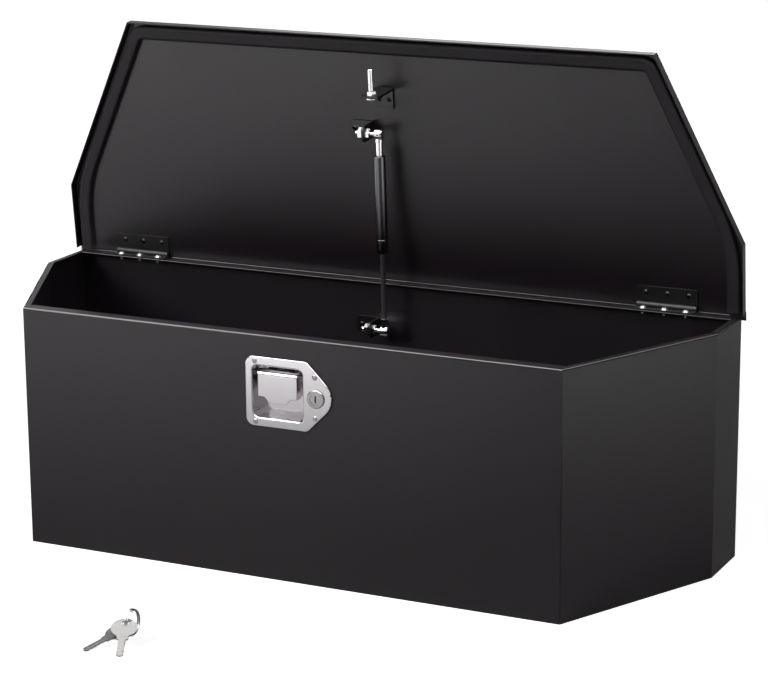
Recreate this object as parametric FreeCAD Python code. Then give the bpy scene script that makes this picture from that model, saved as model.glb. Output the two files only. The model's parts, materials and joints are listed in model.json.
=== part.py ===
import FreeCAD, Part
import math
import os

from FreeCAD import Vector

# A tongue box for a trailer: a steel box, long at the back and short at the front, with a
# gas-strut lid, a recessed paddle latch, a key lock and two keys. Millimetres, +Z up, front at -Y.
# The origin is the middle of the underside. The lid stands open, as the box is shown.

# Box shell
BACK_LENGTH = 905.0
FRONT_LENGTH = 697.0
DEPTH = 304.0
END_DEPTH = 86.0
BOX_HEIGHT = 296.0
SHEET = 1.5
RIM_WIDTH = 16.0
SIDE_RIM_WIDTH = 8.5
RIM_EDGE = 0.6
BEND = 2.5
SEAM_BEVEL = 0.8

# Lid and its seal
LID_SHEET = 1.2
LID_OVERHANG = 4.5
SKIRT_DEPTH = 12.5
LID_OPEN_DEG = 84.33
LID_REAR = 0.2
REAR_LIP = 9.0
LIP_BEAD = 0.9
BEAD_SETBACK = 4.6
SEAL_GAP = 4.0
SEAL_WIDTH = 17.0
SEAL_CLEAR = 0.4
SEAL_EDGE = 4.2
SEAL_LIP = 0.9
SEAL_CROWN = 5.0
SEAL_SWELL = 0.55
SEAL_REAR_GAP = 1.5
SEAL_FRONT_BEND = 15.5
SEAL_SIDE_BEND = 180.0

# Hinges
HINGE_LENGTH = 75.0
HINGE_INSET = 92.5
KNUCKLES = 5
KNUCKLE_GAP = 0.4
KNUCKLE_RADIUS = 3.7
KNUCKLE_SPACE = 0.8
HINGE_PIN_RADIUS = 2.0
RUNNING_FIT = 0.05
LEAF = 2.0
AXIS_RISE = 4.0
AXIS_INSET = 1.2
BOX_LEAF_WIDTH = 14.3
LID_LEAF_WIDTH = 22.5
HINGE_SCREW_PITCH = 27.0
BOX_SCREW_SETBACK = 9.2
LID_SCREW_SETBACK = 14.5

# Screws: head radius, head height, shank radius and how far the shank shows past the sheet
BOX_SCREW_HEAD = 4.4
BOX_SCREW_RISE = 3.0
BOX_SCREW_TIP = 4.0
LID_SCREW_HEAD = 3.4
LID_SCREW_RISE = 1.6
SCREW_SHANK = 2.0
CROSS_WIDTH = 0.9
CROSS_SHARE = 0.62
HEAD_ROUND = 0.62
HEX_SIDES = 6
HOLE_CLEAR = 0.1

# Striker on the lid: an angle bracket with a stud that points at the latch when the lid is shut
STRIKER_WIDTH = 23.0
STRIKER_SHEET = 3.0
STRIKER_FOOT = 25.5
STRIKER_FLANGE = 45.0
STRIKER_SETBACK = 59.8
STUD_REACH = 38.0
STUD_RADIUS = 3.0
STUD_BEVEL = 0.75
STUD_SHOWS = 32.0
STUD_HEAD_RADIUS = 6.5
STUD_HEAD_RISE = 3.6
STUD_NUT = 10.0
STUD_NUT_HEIGHT = 5.0
STRIKER_SCREW_SPREAD = 6.5
STRIKER_SCREW_HEAD = 3.0
STRIKER_SCREW_RISE = 1.8

# Gas strut: its ball centres, its ball studs and their angle brackets
LOWER_BALL_DROP = 58.0
LOWER_BALL_REACH = 25.0
UPPER_BALL_U = 190.0
UPPER_BALL_REACH = 23.0
BALL_RADIUS = 5.0
BALL_NECK_RADIUS = 2.6
BALL_NECK_END = 11.7
COLLAR_ACROSS = 11.0
COLLAR_LENGTH = 5.5
BALL_SHANK_RADIUS = 3.0
BALL_NUT_ACROSS = 13.0
BALL_NUT_LENGTH = 6.5
BALL_SHANK_TIP = 4.0
BRACKET_SHEET = 2.5
BRACKET_HEIGHT = 20.0
BRACKET_FOOT = 33.0
BRACKET_EAR = 9.0
BRACKET_CORNER = 6.0
BRACKET_SCREW_NEAR = 9.0
BRACKET_SCREW_FAR = 25.5
BRACKET_SCREW_HEAD = 3.2
BRACKET_SCREW_RISE = 2.0

# Gas strut: tube, rod and end fittings, measured along the strut
SOCKET_RADIUS = 6.7
SOCKET_BACK = 5.9
SOCKET_MOUTH = 3.6
SOCKET_MOUTH_RADIUS = 3.4
SOCKET_EDGE = 3.0
SHANK_RADIUS = 4.8
LOWER_SHANK = 16.0
UPPER_SHANK = 9.5
THREAD_DEPTH = 3.5
END_STUD_LENGTH = 16.5
END_STUD_RADIUS = 4.0
TUBE_LENGTH = 123.0
TUBE_RADIUS = 7.25
TUBE_WALL = 1.25
TUBE_CAP = 3.0
TUBE_LIP = 1.4
TUBE_EDGE = 1.2
CRIMP_RISE = 18.0
CRIMP_RADIUS = 1.1
CRIMP_DEPTH = 0.7
ROD_RADIUS = 3.2
GLAND_LENGTH = 11.0
PISTON_GAP = 2.0
PISTON_LENGTH = 7.0
PIVOT_CLEAR = 0.5
PATH_STEPS = 12

# Latch plate with its recessed pan, on the front wall
LATCH_DROP = 67.3
LATCH_HEIGHT = 83.3
LATCH_LEFT = -44.5
LATCH_SHOULDER = 35.0
PLATE = 1.5
PLATE_EDGE = 0.9
PLATE_CORNER = 10.0
SHOULDER_CORNER = 9.0
NOSE_CORNER = 24.4
GASKET = 1.0
GASKET_SHOWS = 0.9
PAN_CENTRE_X = -3.0
PAN_WIDTH = 65.0
PAN_HEIGHT = 62.0
PAN_DEPTH = 20.0
PAN_WALL = 1.2
PAN_COLLAR = 2.4
COLLAR_DEPTH = 3.2
MOUTH_ROUND = 2.0
PAN_CORNER = 7.0
PANEL_CLEAR = 0.6
RIVET_RADIUS = 3.3
RIVET_RISE = 1.1
RIVET_SHANK = 1.6
RIVET_TAIL = 1.4
LEFT_RIVET_INSET = 12.4
LEFT_RIVET_SPREAD = 36.4
RIGHT_RIVET_X = 45.5
RIGHT_RIVET_SPREAD = 24.4

# Paddle with its lever, pin and spring
PADDLE_WIDTH = 51.0
PADDLE_HEIGHT = 30.0
PADDLE_TOP_GAP = 6.8
PADDLE_SHEET = 1.5
PADDLE_FLANGE = 10.0
PADDLE_EDGE = 1.4
PADDLE_ROUND = 0.868
PADDLE_TOP_ROUND = 3.5
TAB_ROOT = 34.0
TAB_WIDTH = 23.0
TAB_DROP = 7.0
TAB_CORNER = 5.0
PADDLE_PIN_RADIUS = 2.0
PADDLE_PIN_DEPTH = 13.0
PADDLE_PIN_DROP = 5.6
PADDLE_PIN_TAIL = 1.5
EAR_RADIUS = 3.9
LEVER_REACH = 7.0
LEVER_BELOW = 2.0
LEVER_ABOVE = 3.6
SPRING_WIRE = 0.6
SPRING_CLEAR = 0.3
SPRING_PITCH = 1.9
SPRING_TURNS = 6

# Catch behind the pan, which hooks over the striker's stud
CATCH_CENTRE_X = 9.5
CATCH_WIDTH = 9.0
CATCH_ARM = 32.0
CATCH_SETBACK = 2.2
CATCH_HALF = 4.0
CATCH_HUB = 6.0
CATCH_PIN_RADIUS = 2.5
CATCH_LAP = 7.0
CATCH_GAP = 0.6
CATCH_NOSE = 6.0
CATCH_SLOPE = 3.0
CATCH_PAST_STUD = 1.0
ARM_START = 4.6
ARM_GAP = 0.9
ARM_HEIGHT = 6.0
SLOT_CLEAR = 1.0
SLOT_ABOVE = 9.0
SLOT_BELOW = 17.0
EAR_CLEAR = 0.3
EAR_SHEET = 2.0
CATCH_FOOT = 9.0
CATCH_FOOT_SHEET = 1.5
CATCH_FOOT_HALF = 9.0

# Key lock beside the paddle
LOCK_X = 46.9
LOCK_DROP = 0.9
LOCK_RADIUS = 11.0
LOCK_RISE = 2.2
LOCK_EDGE = 1.2
BARREL_RADIUS = 9.5
BARREL_LENGTH = 26.0
PLUG_RADIUS = 7.0
PLUG_SUNK = 0.6
KEYWAY_WIDTH = 1.9
KEYWAY_HEIGHT = 8.2
KEYWAY_DEPTH = 20.0
LOCK_NUT_ACROSS = 23.0
LOCK_NUT_HEIGHT = 4.0
CAM_GAP = 0.4
CAM_SHEET = 2.5
CAM_LENGTH = 22.0
CAM_HALF = 6.0
CAM_NECK_RADIUS = 4.0
CAM_SCREW_HEAD = 4.6
CAM_SCREW_RISE = 2.4

# Keys on a split ring, lying in front of the box
KEY_RING_X = -70.0
KEY_RING_Y = -380.0
KEY_RING_TURN = 89.0
RING_RADIUS = 14.5
RING_WIRE = 0.9
RING_PITCH = 2.3
RING_TURNS = 2
KEY_BOW = 15.0
KEY_LENGTH = 62.0
KEY_SHEET = 1.8
KEY_BLADE = 7.9
KEY_SHOULDER = 12.6
KEY_FLARE = 20.0
KEY_SHOULDER_LENGTH = 4.5
KEY_HOLE = 3.7
KEY_HOLE_RIM = 7.2
KEY_TIP = 2.2
KEY_CUT_DEPTHS = (1.5, 0.6, 1.1, 1.4, 0.5)
KEY_CUT_FLAT = 1.2
KEY_SIDE_GROOVE = 1.0
KEY_WIDE_GROOVE = 2.0
KEY_RIDGE = 2.2
KEY_GROOVE_DEPTH = 0.5
KEY_RIM = 1.5
KEY_DISH = 0.3
KEY_SPREAD = 24.0
KEY_RISES = (12.0, 18.5)
KEY_SLIPS = (1.484, 1.367)

# Places worked out from the sizes above
ORIGIN = Vector(0, 0, 0)
RIGHT = Vector(1, 0, 0)
BACK = Vector(0, 1, 0)
UP = Vector(0, 0, 1)
FRONT_Y = -DEPTH / 2
BACK_Y = DEPTH / 2
SHOULDER_Y = BACK_Y - END_DEPTH
BOX_OUTLINE = [
    Vector(-FRONT_LENGTH / 2, FRONT_Y, 0),
    Vector(FRONT_LENGTH / 2, FRONT_Y, 0),
    Vector(BACK_LENGTH / 2, SHOULDER_Y, 0),
    Vector(BACK_LENGTH / 2, BACK_Y, 0),
    Vector(-BACK_LENGTH / 2, BACK_Y, 0),
    Vector(-BACK_LENGTH / 2, SHOULDER_Y, 0),
]
FRONT_SIDE, RIGHT_SLANT, RIGHT_END, BACK_SIDE, LEFT_END, LEFT_SLANT = range(len(BOX_OUTLINE))
AXIS = Vector(0, BACK_Y - AXIS_INSET, BOX_HEIGHT + AXIS_RISE)
HINGE_CENTRE_X = BACK_LENGTH / 2 - HINGE_INSET
STRIKER_Y = FRONT_Y + STRIKER_SETBACK
LID_INNER_Z = BOX_HEIGHT + 2 * AXIS_RISE
LID_OUTER_Z = LID_INNER_Z + LID_SHEET
MARGIN = 2.0
STUD_Z = LID_INNER_Z - STUD_REACH
STUD_TIP_Y = STRIKER_Y - STUD_SHOWS
LATCH_Z = BOX_HEIGHT - LATCH_DROP
SEAT_Y = FRONT_Y - GASKET
FACE_Y = SEAT_Y - PLATE
PAN_BACK_Y = FACE_Y + PAN_DEPTH
PAN_REAR_Y = PAN_BACK_Y + PAN_WALL
PADDLE_TOP_Z = LATCH_Z + PAN_HEIGHT / 2 - PADDLE_TOP_GAP
PADDLE_PIN = Vector(PAN_CENTRE_X, FACE_Y + PADDLE_PIN_DEPTH, PADDLE_TOP_Z - PADDLE_PIN_DROP)
CATCH_PIVOT = Vector(CATCH_CENTRE_X, STUD_TIP_Y + CATCH_SETBACK, STUD_Z - CATCH_ARM)
CATCH_LEFT = CATCH_CENTRE_X - CATCH_WIDTH / 2
CATCH_RIGHT = CATCH_CENTRE_X + CATCH_WIDTH / 2
LOCK = Vector(LOCK_X, FACE_Y, LATCH_Z - LOCK_DROP)


# Shape helpers

def block(x_low, x_high, y_low, y_high, z_low, z_high):
    """A box between two corners."""
    return Part.makeBox(x_high - x_low, y_high - y_low, z_high - z_low, Vector(x_low, y_low, z_low))


def rounded_edges(points, radii, closed):
    """Straight runs through the points, with each corner rounded by its radius."""
    count = len(points)
    ends = []
    for number, (point, radius) in enumerate(zip(points, radii)):
        if radius == 0:
            ends.append((point, None, point))
            continue
        to_before = (points[number - 1] - point).normalize()
        to_after = (points[(number + 1) % count] - point).normalize()
        half = to_before.getAngle(to_after) / 2
        reach = radius / math.tan(half)
        middle = (to_before + to_after).normalize() * (radius / math.sin(half) - radius)
        ends.append((point + to_before * reach, point + middle, point + to_after * reach))
    edges = []
    for number, (arc_start, arc_middle, arc_end) in enumerate(ends):
        if arc_middle is not None:
            edges.append(Part.Arc(arc_start, arc_middle, arc_end).toShape())
        if closed or number + 1 < count:
            next_start = ends[(number + 1) % count][0]
            edges.append(Part.LineSegment(arc_end, next_start).toShape())
    return edges


def rounded_face(points, radii):
    """A flat face with rounded corners."""
    return Part.Face(Part.Wire(rounded_edges(points, radii, True)))


def prism(points, radii, sweep):
    """A flat outline with rounded corners, pulled straight along the sweep."""
    return rounded_face(points, radii).extrude(sweep)


def sharp_prism(points, sweep):
    """A flat outline with sharp corners, pulled straight along the sweep."""
    return prism(points, [0] * len(points), sweep)


def upright_block(centre_x, centre_z, width, height, corner, y_low, y_high):
    """A block with rounded corners in front view."""
    points = [
        Vector(centre_x - width / 2, y_low, centre_z - height / 2),
        Vector(centre_x + width / 2, y_low, centre_z - height / 2),
        Vector(centre_x + width / 2, y_low, centre_z + height / 2),
        Vector(centre_x - width / 2, y_low, centre_z + height / 2),
    ]
    return prism(points, [corner] * len(points), Vector(0, y_high - y_low, 0))


def hexagon(base, direction, across, height):
    """A level hexagonal prism, given the width across its flats."""
    side = direction.cross(UP).normalize()
    other = direction.cross(side)
    step = 2 * math.pi / HEX_SIDES
    corner_radius = across / 2 / math.cos(step / 2)
    points = []
    for number in range(HEX_SIDES):
        angle = step * number
        points.append(base + (side * math.cos(angle) + other * math.sin(angle)) * corner_radius)
    return sharp_prism(points, direction * height)


def ring(base, direction, outer, inner, height):
    """A plain tube with a straight bore."""
    body = Part.makeCylinder(outer, height, base, direction)
    return body.cut(Part.makeCylinder(inner, height, base, direction))


def dome(radius, rise):
    """A cap of a ball, its flat side on the origin."""
    ball = (radius ** 2 + rise ** 2) / (2 * rise)
    cap = Part.makeSphere(ball, Vector(0, 0, rise - ball))
    return cap.common(block(-ball, ball, -ball, ball, 0, ball))


def screw(head_radius, head_rise, shank_length):
    """A round-headed cross screw standing at the origin: head above, shank below."""
    head = dome(head_radius, head_rise)
    arm = head_radius * CROSS_SHARE
    sink = head_rise * CROSS_SHARE
    half = CROSS_WIDTH / 2
    cross = block(-arm, arm, -half, half, head_rise - sink, head_rise + sink)
    cross = cross.fuse(block(-half, half, -arm, arm, head_rise - sink, head_rise + sink))
    shank = Part.makeCylinder(SCREW_SHANK, shank_length, ORIGIN, -UP)
    return head.cut(cross).fuse(shank)


def screw_holes(places, depth, direction):
    """Clearance holes from the screw heads' seats through what they clamp."""
    return [Part.makeCylinder(SCREW_SHANK + HOLE_CLEAR, depth, place, direction) for place in places]


def moved(shape, place):
    """The shape moved by a vector."""
    result = shape.copy()
    result.translate(place)
    return result


def turned(shape, point, direction, degrees):
    """The shape turned about a line."""
    result = shape.copy()
    result.rotate(point, direction, degrees)
    return result


def opened(shape):
    """A lid piece, modelled shut, swung to the open lid."""
    return turned(shape, AXIS, RIGHT, -LID_OPEN_DEG)


def coil(radius, pitch, turns, wire):
    """One unbroken wire along X, wound from tilted half circles that meet smoothly."""
    edges = []
    points = []
    for number in range(2 * turns):
        side = 1 if number % 2 == 0 else -1
        start = Vector(pitch * number / 2, 0, side * radius)
        end = Vector(pitch * (number + 1) / 2, 0, -side * radius)
        middle = (start + end) / 2 + BACK * side * (end - start).Length / 2
        edges.append(Part.Arc(start, middle, end).toShape())
        points.extend((start, middle))
    gap = min((one - two).Length for one, two in zip(points, points[4:])) - 2 * wire
    print("coil of", turns, "turns: least gap to itself", round(gap, 3), "mm")
    path = Part.Wire(edges)
    circle = Part.Wire(Part.makeCircle(wire, edges[0].Vertexes[0].Point, BACK))
    return path.makePipeShell([circle], True, False)


# Sheet metal

def inset_sides(outline, distances):
    """Corners of a flat outline whose sides each move inwards by a distance of their own."""
    count = len(outline)
    result = []
    for number, point in enumerate(outline):
        before = UP.cross((point - outline[number - 1]).normalize())
        after = UP.cross((outline[(number + 1) % count] - point).normalize())
        turn = before.dot(after)
        depth_before = distances[number - 1]
        depth_after = distances[number]
        shift = before * (depth_before - turn * depth_after) + after * (depth_after - turn * depth_before)
        result.append(point + shift / (1 - turn ** 2))
    return result


def inset(outline, distance):
    """Corners of a flat outline moved inwards by a distance, or outwards if it is negative."""
    return inset_sides(outline, [distance] * len(outline))


def strip(outline, side, profile, radii, bevels=(0, 0), square=(False, False), widths=None):
    """Sheet folded to a profile along one side of an outline, mitred at both ends.

    The profile lists (distance inwards, height). A bevel takes the sharp edge off the end's seam.
    Widths of the strips on all sides give the mitres their direction.
    """
    start = outline[side]
    end = outline[(side + 1) % len(outline)]
    along = (end - start).normalize()
    inward = UP.cross(along)
    points = [start + inward * depth + UP * height for depth, height in profile]
    body = prism(points, radii, end - start)
    reach = max(depth for depth, height in profile) + MARGIN
    low = min(height for depth, height in profile) - MARGIN
    high = max(height for depth, height in profile) + MARGIN
    widths = widths or [1] * len(outline)
    deep = inset_sides(outline, [width * reach / widths[side] for width in widths])
    for corner, direction, bevel, keep in (
        (start, along, bevels[0], square[0]),
        (end, -along, bevels[1], square[1]),
    ):
        if keep:
            continue
        inner = deep[side] if corner is start else deep[(side + 1) % len(outline)]
        outer = corner + (corner - inner)
        away = direction * -(reach + MARGIN) * 2
        waste = [corner + direction * bevel, corner - inward * MARGIN + direction * (bevel + MARGIN)]
        waste = waste if bevel else [outer]
        seam = corner + (inner - corner) * (bevel / reach)
        points = waste + [outer + away, inner + away, inner] + ([seam] if bevel else [])
        points = [point + UP * low for point in points]
        body = body.cut(sharp_prism(points, UP * (high - low)))
    return body


def wall_strip(side, bevels=(0, 0)):
    """One straight wall of the box with its rim turned inwards."""
    widths = [SIDE_RIM_WIDTH] * len(BOX_OUTLINE)
    widths[FRONT_SIDE] = RIM_WIDTH
    widths[BACK_SIDE] = RIM_WIDTH
    rim = widths[side]
    profile = [
        (0, 0),
        (0, BOX_HEIGHT),
        (rim, BOX_HEIGHT),
        (rim, BOX_HEIGHT - SHEET),
        (SHEET, BOX_HEIGHT - SHEET),
        (SHEET, 0),
    ]
    radii = [0, BEND, RIM_EDGE, RIM_EDGE, BEND - SHEET, 0]
    return strip(BOX_OUTLINE, side, profile, radii, bevels, widths=widths)


def front_panel():
    """Front wall with the holes for the latch pan, the lock and the rivets."""
    panel = wall_strip(FRONT_SIDE, (SEAM_BEVEL, SEAM_BEVEL))
    panel = panel.cut(pan_block(PAN_COLLAR + PANEL_CLEAR, FRONT_Y - MARGIN, FRONT_Y + SHEET + MARGIN))
    panel = panel.cut(lock_hole())
    return panel.cut(rivet_holes())


def side_panel(first, second, bevels):
    """A slanted side and a short end folded from one sheet."""
    panel = wall_strip(first, bevels[0]).fuse(wall_strip(second, bevels[1]))
    return panel.removeSplitter()


def back_panel():
    """Back wall with the hinge screw holes in its rim and the strut bracket's holes."""
    panel = wall_strip(BACK_SIDE)
    for hole in screw_holes(box_screw_places(), LEAF + SHEET, -UP):
        panel = panel.cut(hole)
    for hole in screw_holes(bracket_screw_places(), BRACKET_SHEET + SHEET, -UP):
        panel = panel.cut(on_back_wall(hole))
    return panel


def floor_panel():
    """Flat floor, welded in between the walls."""
    return sharp_prism(inset(BOX_OUTLINE, SHEET), UP * SHEET)


def lid_outline():
    """Outline of the shut lid, with its straight rear edge just behind the hinge axis."""
    outline = inset(BOX_OUTLINE, -LID_OVERHANG)
    for number in (BACK_SIDE, LEFT_END):
        outline[number] = Vector(outline[number].x, AXIS.y + LID_REAR, 0)
    return outline


def lid_panel():
    """Flat lid with a skirt on the front, the slants and the ends, and a beaded lip behind the hinges."""
    outline = lid_outline()
    skirt_low = LID_OUTER_Z - SKIRT_DEPTH
    fold = 2 * BEND
    profile = [
        (0, skirt_low),
        (0, LID_OUTER_Z),
        (fold, LID_OUTER_Z),
        (fold, LID_INNER_Z),
        (LID_SHEET, LID_INNER_Z),
        (LID_SHEET, skirt_low),
    ]
    radii = [0, BEND, 0, 0, BEND - LID_SHEET, 0]
    corners = inset(outline, fold)
    for number in (BACK_SIDE, LEFT_END):
        corners[number] = Vector(corners[number].x, outline[number].y, 0)
    lid = sharp_prism([corner + UP * LID_INNER_Z for corner in corners], UP * LID_SHEET)
    half = BACK_LENGTH / 2 + LID_OVERHANG
    rear_y = AXIS.y + LID_REAR
    lid = lid.fuse(block(-half, half, rear_y - MARGIN, rear_y + REAR_LIP, LID_INNER_Z, LID_OUTER_Z))
    bead_start = Vector(-half, AXIS.y + BEAD_SETBACK, LID_INNER_Z)
    lid = lid.fuse(Part.makeCylinder(LIP_BEAD, 2 * half, bead_start, RIGHT))
    for side in (FRONT_SIDE, RIGHT_SLANT, RIGHT_END, LEFT_END, LEFT_SLANT):
        square = (side == LEFT_END, side == RIGHT_END)
        lid = lid.fuse(strip(outline, side, profile, radii, square=square))
    lid = lid.removeSplitter()
    holes = screw_holes(lid_screw_places(), LEAF + LID_SHEET, UP)
    holes += screw_holes(striker_screw_places(), STRIKER_SHEET + LID_SHEET, UP)
    holes += [on_lid(hole) for hole in screw_holes(bracket_screw_places(), BRACKET_SHEET + LID_SHEET, -UP)]
    for hole in holes:
        lid = lid.cut(hole)
    return lid


def swell(start, knee, end):
    """A smooth curve that leaves its start towards the knee and comes from the knee to its end."""
    curve = Part.BezierCurve()
    curve.setPoles([start, start + (knee - start) * SEAL_SWELL, end + (knee - end) * SEAL_SWELL, end])
    return curve.toShape()


def lid_seal():
    """Rubber strip under the lid, round the front, the slants and the ends."""
    middle = SEAL_GAP + SEAL_WIDTH / 2 - (LID_OVERHANG - LID_SHEET)
    track = inset(BOX_OUTLINE, middle)
    rear_y = AXIS.y - SEAL_REAR_GAP
    points = [
        Vector(track[LEFT_END].x, rear_y, LID_INNER_Z),
        track[LEFT_SLANT] + UP * LID_INNER_Z,
        track[FRONT_SIDE] + UP * LID_INNER_Z,
        track[RIGHT_SLANT] + UP * LID_INNER_Z,
        track[RIGHT_END] + UP * LID_INNER_Z,
        Vector(track[BACK_SIDE].x, rear_y, LID_INNER_Z),
    ]
    radii = [0, SEAL_SIDE_BEND, SEAL_FRONT_BEND, SEAL_FRONT_BEND, SEAL_SIDE_BEND, 0]
    path = Part.Wire(rounded_edges(points, radii, False))
    height = LID_INNER_Z - BOX_HEIGHT - SEAL_CLEAR
    half = SEAL_WIDTH / 2
    left = points[0] - RIGHT * half
    right = points[0] + RIGHT * half
    edge = left - UP * SEAL_EDGE
    crown = left + RIGHT * SEAL_CROWN - UP * height
    lip = right - UP * SEAL_LIP
    section = Part.Wire([
        Part.LineSegment(right, left).toShape(),
        Part.LineSegment(left, edge).toShape(),
        swell(edge, edge - UP * (height - SEAL_EDGE), crown),
        swell(crown, lip - UP * (height - SEAL_LIP), lip),
        Part.LineSegment(lip, right).toShape(),
    ])
    return path.makePipeShell([section], True, False)


# Hinges

def knuckle_spans(centre_x, numbers):
    """Start and end along X of the chosen knuckles of a hinge."""
    pitch = HINGE_LENGTH / KNUCKLES
    left = centre_x - HINGE_LENGTH / 2
    return [(left + pitch * n + KNUCKLE_GAP / 2, left + pitch * (n + 1) - KNUCKLE_GAP / 2) for n in numbers]


def hinge_leaf(centre_x, numbers, width, low_z, holes):
    """A flat leaf with its share of the knuckles."""
    left = centre_x - HINGE_LENGTH / 2
    right = centre_x + HINGE_LENGTH / 2
    edge_y = AXIS.y - KNUCKLE_RADIUS - KNUCKLE_SPACE
    leaf = block(left, right, AXIS.y - width, edge_y, low_z, low_z + LEAF)
    for start, end in knuckle_spans(centre_x, numbers):
        barrel = Part.makeCylinder(KNUCKLE_RADIUS, end - start, Vector(start, AXIS.y, AXIS.z), RIGHT)
        leaf = leaf.fuse(barrel).fuse(block(start, end, edge_y, AXIS.y, low_z, low_z + LEAF))
    bore = HINGE_PIN_RADIUS + RUNNING_FIT
    leaf = leaf.cut(Part.makeCylinder(bore, HINGE_LENGTH, Vector(left, AXIS.y, AXIS.z), RIGHT))
    for hole in holes:
        leaf = leaf.cut(hole)
    return leaf.removeSplitter()


def box_leaf(centre_x):
    """Hinge leaf on the rear rim, with the outer and middle knuckles."""
    holes = screw_holes(box_screw_places(), LEAF, -UP)
    return hinge_leaf(centre_x, range(0, KNUCKLES, 2), BOX_LEAF_WIDTH, BOX_HEIGHT, holes)


def lid_leaf(centre_x):
    """Hinge leaf under the lid, with the knuckles in between."""
    holes = screw_holes(lid_screw_places(), LEAF, UP)
    return hinge_leaf(centre_x, range(1, KNUCKLES, 2), LID_LEAF_WIDTH, LID_INNER_Z - LEAF, holes)


def hinge_pin(centre_x):
    """Pin through all the knuckles of one hinge."""
    left_end = Vector(centre_x - HINGE_LENGTH / 2, AXIS.y, AXIS.z)
    return Part.makeCylinder(HINGE_PIN_RADIUS, HINGE_LENGTH, left_end, RIGHT)


def hinge_screw_xs():
    """Places along X of the three screws in each leaf."""
    xs = []
    for centre_x in (-HINGE_CENTRE_X, HINGE_CENTRE_X):
        xs.extend(centre_x + HINGE_SCREW_PITCH * number for number in (-1, 0, 1))
    return xs


def box_screw_places():
    """Where the screw heads sit on the box leaves."""
    return [Vector(x, AXIS.y - BOX_SCREW_SETBACK, BOX_HEIGHT + LEAF) for x in hinge_screw_xs()]


def lid_screw_places():
    """Where the screw heads sit under the lid leaves."""
    return [Vector(x, AXIS.y - LID_SCREW_SETBACK, LID_INNER_Z - LEAF) for x in hinge_screw_xs()]


def box_hinge_screws():
    """Screws down through the box leaves and the rim."""
    one = screw(BOX_SCREW_HEAD, BOX_SCREW_RISE, LEAF + SHEET + BOX_SCREW_TIP)
    return Part.makeCompound([moved(one, place) for place in box_screw_places()])


def lid_hinge_screws():
    """Screws up through the lid leaves, flush with the lid's outside."""
    one = turned(screw(LID_SCREW_HEAD, LID_SCREW_RISE, LEAF + LID_SHEET), ORIGIN, RIGHT, 180)
    return Part.makeCompound([moved(one, place) for place in lid_screw_places()])


# Striker

def striker_bracket():
    """Angle bracket: a foot under the lid and a flange that carries the stud."""
    half = STRIKER_WIDTH / 2
    front_y = STRIKER_Y
    foot = block(-half, half, front_y, front_y + STRIKER_FOOT, LID_INNER_Z - STRIKER_SHEET, LID_INNER_Z)
    flange = block(-half, half, front_y, front_y + STRIKER_SHEET, LID_INNER_Z - STRIKER_FLANGE, LID_INNER_Z)
    bracket = foot.fuse(flange).removeSplitter()
    hole = Part.makeCylinder(STUD_RADIUS + RUNNING_FIT, STRIKER_SHEET, Vector(0, front_y, STUD_Z), BACK)
    bracket = bracket.cut(hole)
    for screw_hole in screw_holes(striker_screw_places(), STRIKER_SHEET, UP):
        bracket = bracket.cut(screw_hole)
    return bracket


def striker_screw_places():
    """Where the two screw heads sit on the striker's foot."""
    y = STRIKER_Y + (STRIKER_SHEET + STRIKER_FOOT) / 2
    return [Vector(side * STRIKER_SCREW_SPREAD, y, LID_INNER_Z - STRIKER_SHEET) for side in (-1, 1)]


def striker_screws():
    """Two screws up through the striker's foot."""
    one = screw(STRIKER_SCREW_HEAD, STRIKER_SCREW_RISE, STRIKER_SHEET + LID_SHEET)
    one = turned(one, ORIGIN, RIGHT, 180)
    return Part.makeCompound([moved(one, place) for place in striker_screw_places()])


def striker_stud():
    """Round-headed bolt through the flange, pointing to the front."""
    back_y = STRIKER_Y + STRIKER_SHEET
    length = STUD_SHOWS + STRIKER_SHEET
    shank = Part.makeCylinder(STUD_RADIUS, length, Vector(0, back_y, STUD_Z), -BACK)
    tip_edges = [edge for edge in shank.Edges if edge.BoundBox.YMax < STUD_TIP_Y + LEAF]
    shank = shank.makeChamfer(STUD_BEVEL, tip_edges)
    head = Part.makeCylinder(STUD_HEAD_RADIUS, STUD_HEAD_RISE, Vector(0, back_y, STUD_Z), BACK)
    rim_edges = [edge for edge in head.Edges if edge.BoundBox.YMin > back_y + STUD_HEAD_RISE / 2]
    head = head.makeFillet(STUD_HEAD_RISE * HEAD_ROUND, rim_edges)
    return shank.fuse(head)


def striker_nut():
    """Nut that clamps the stud to the flange."""
    face = Vector(0, STRIKER_Y, STUD_Z)
    nut = hexagon(face, -BACK, STUD_NUT, STUD_NUT_HEIGHT)
    return nut.cut(Part.makeCylinder(STUD_RADIUS, STUD_NUT_HEIGHT, face, -BACK))


# Gas strut

def on_back_wall(shape):
    """A shape built on the XY plane, set on the inside of the back wall beside the lower ball."""
    turn = turned(shape, ORIGIN, RIGHT, 90)
    return moved(turn, Vector(0, BACK_Y - SHEET, BOX_HEIGHT - LOWER_BALL_DROP))


def on_lid(shape):
    """A shape built on the XY plane, set under the shut lid beside the upper ball."""
    turn = turned(shape, ORIGIN, RIGHT, 180)
    return moved(turn, Vector(0, AXIS.y - UPPER_BALL_U, LID_INNER_Z))


TAB_RIGHT = -BALL_NECK_END - COLLAR_LENGTH
TAB_LEFT = TAB_RIGHT - BRACKET_SHEET
LOWER_BALL = Vector(0, BACK_Y - SHEET - LOWER_BALL_REACH, BOX_HEIGHT - LOWER_BALL_DROP)
UPPER_BALL_SHUT = Vector(0, AXIS.y - UPPER_BALL_U, LID_INNER_Z - UPPER_BALL_REACH)


def swung(point, degrees):
    """A point turned about the lid's hinge axis."""
    turn = FreeCAD.Rotation(RIGHT, degrees)
    return AXIS + turn.multVec(point - AXIS)


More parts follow.
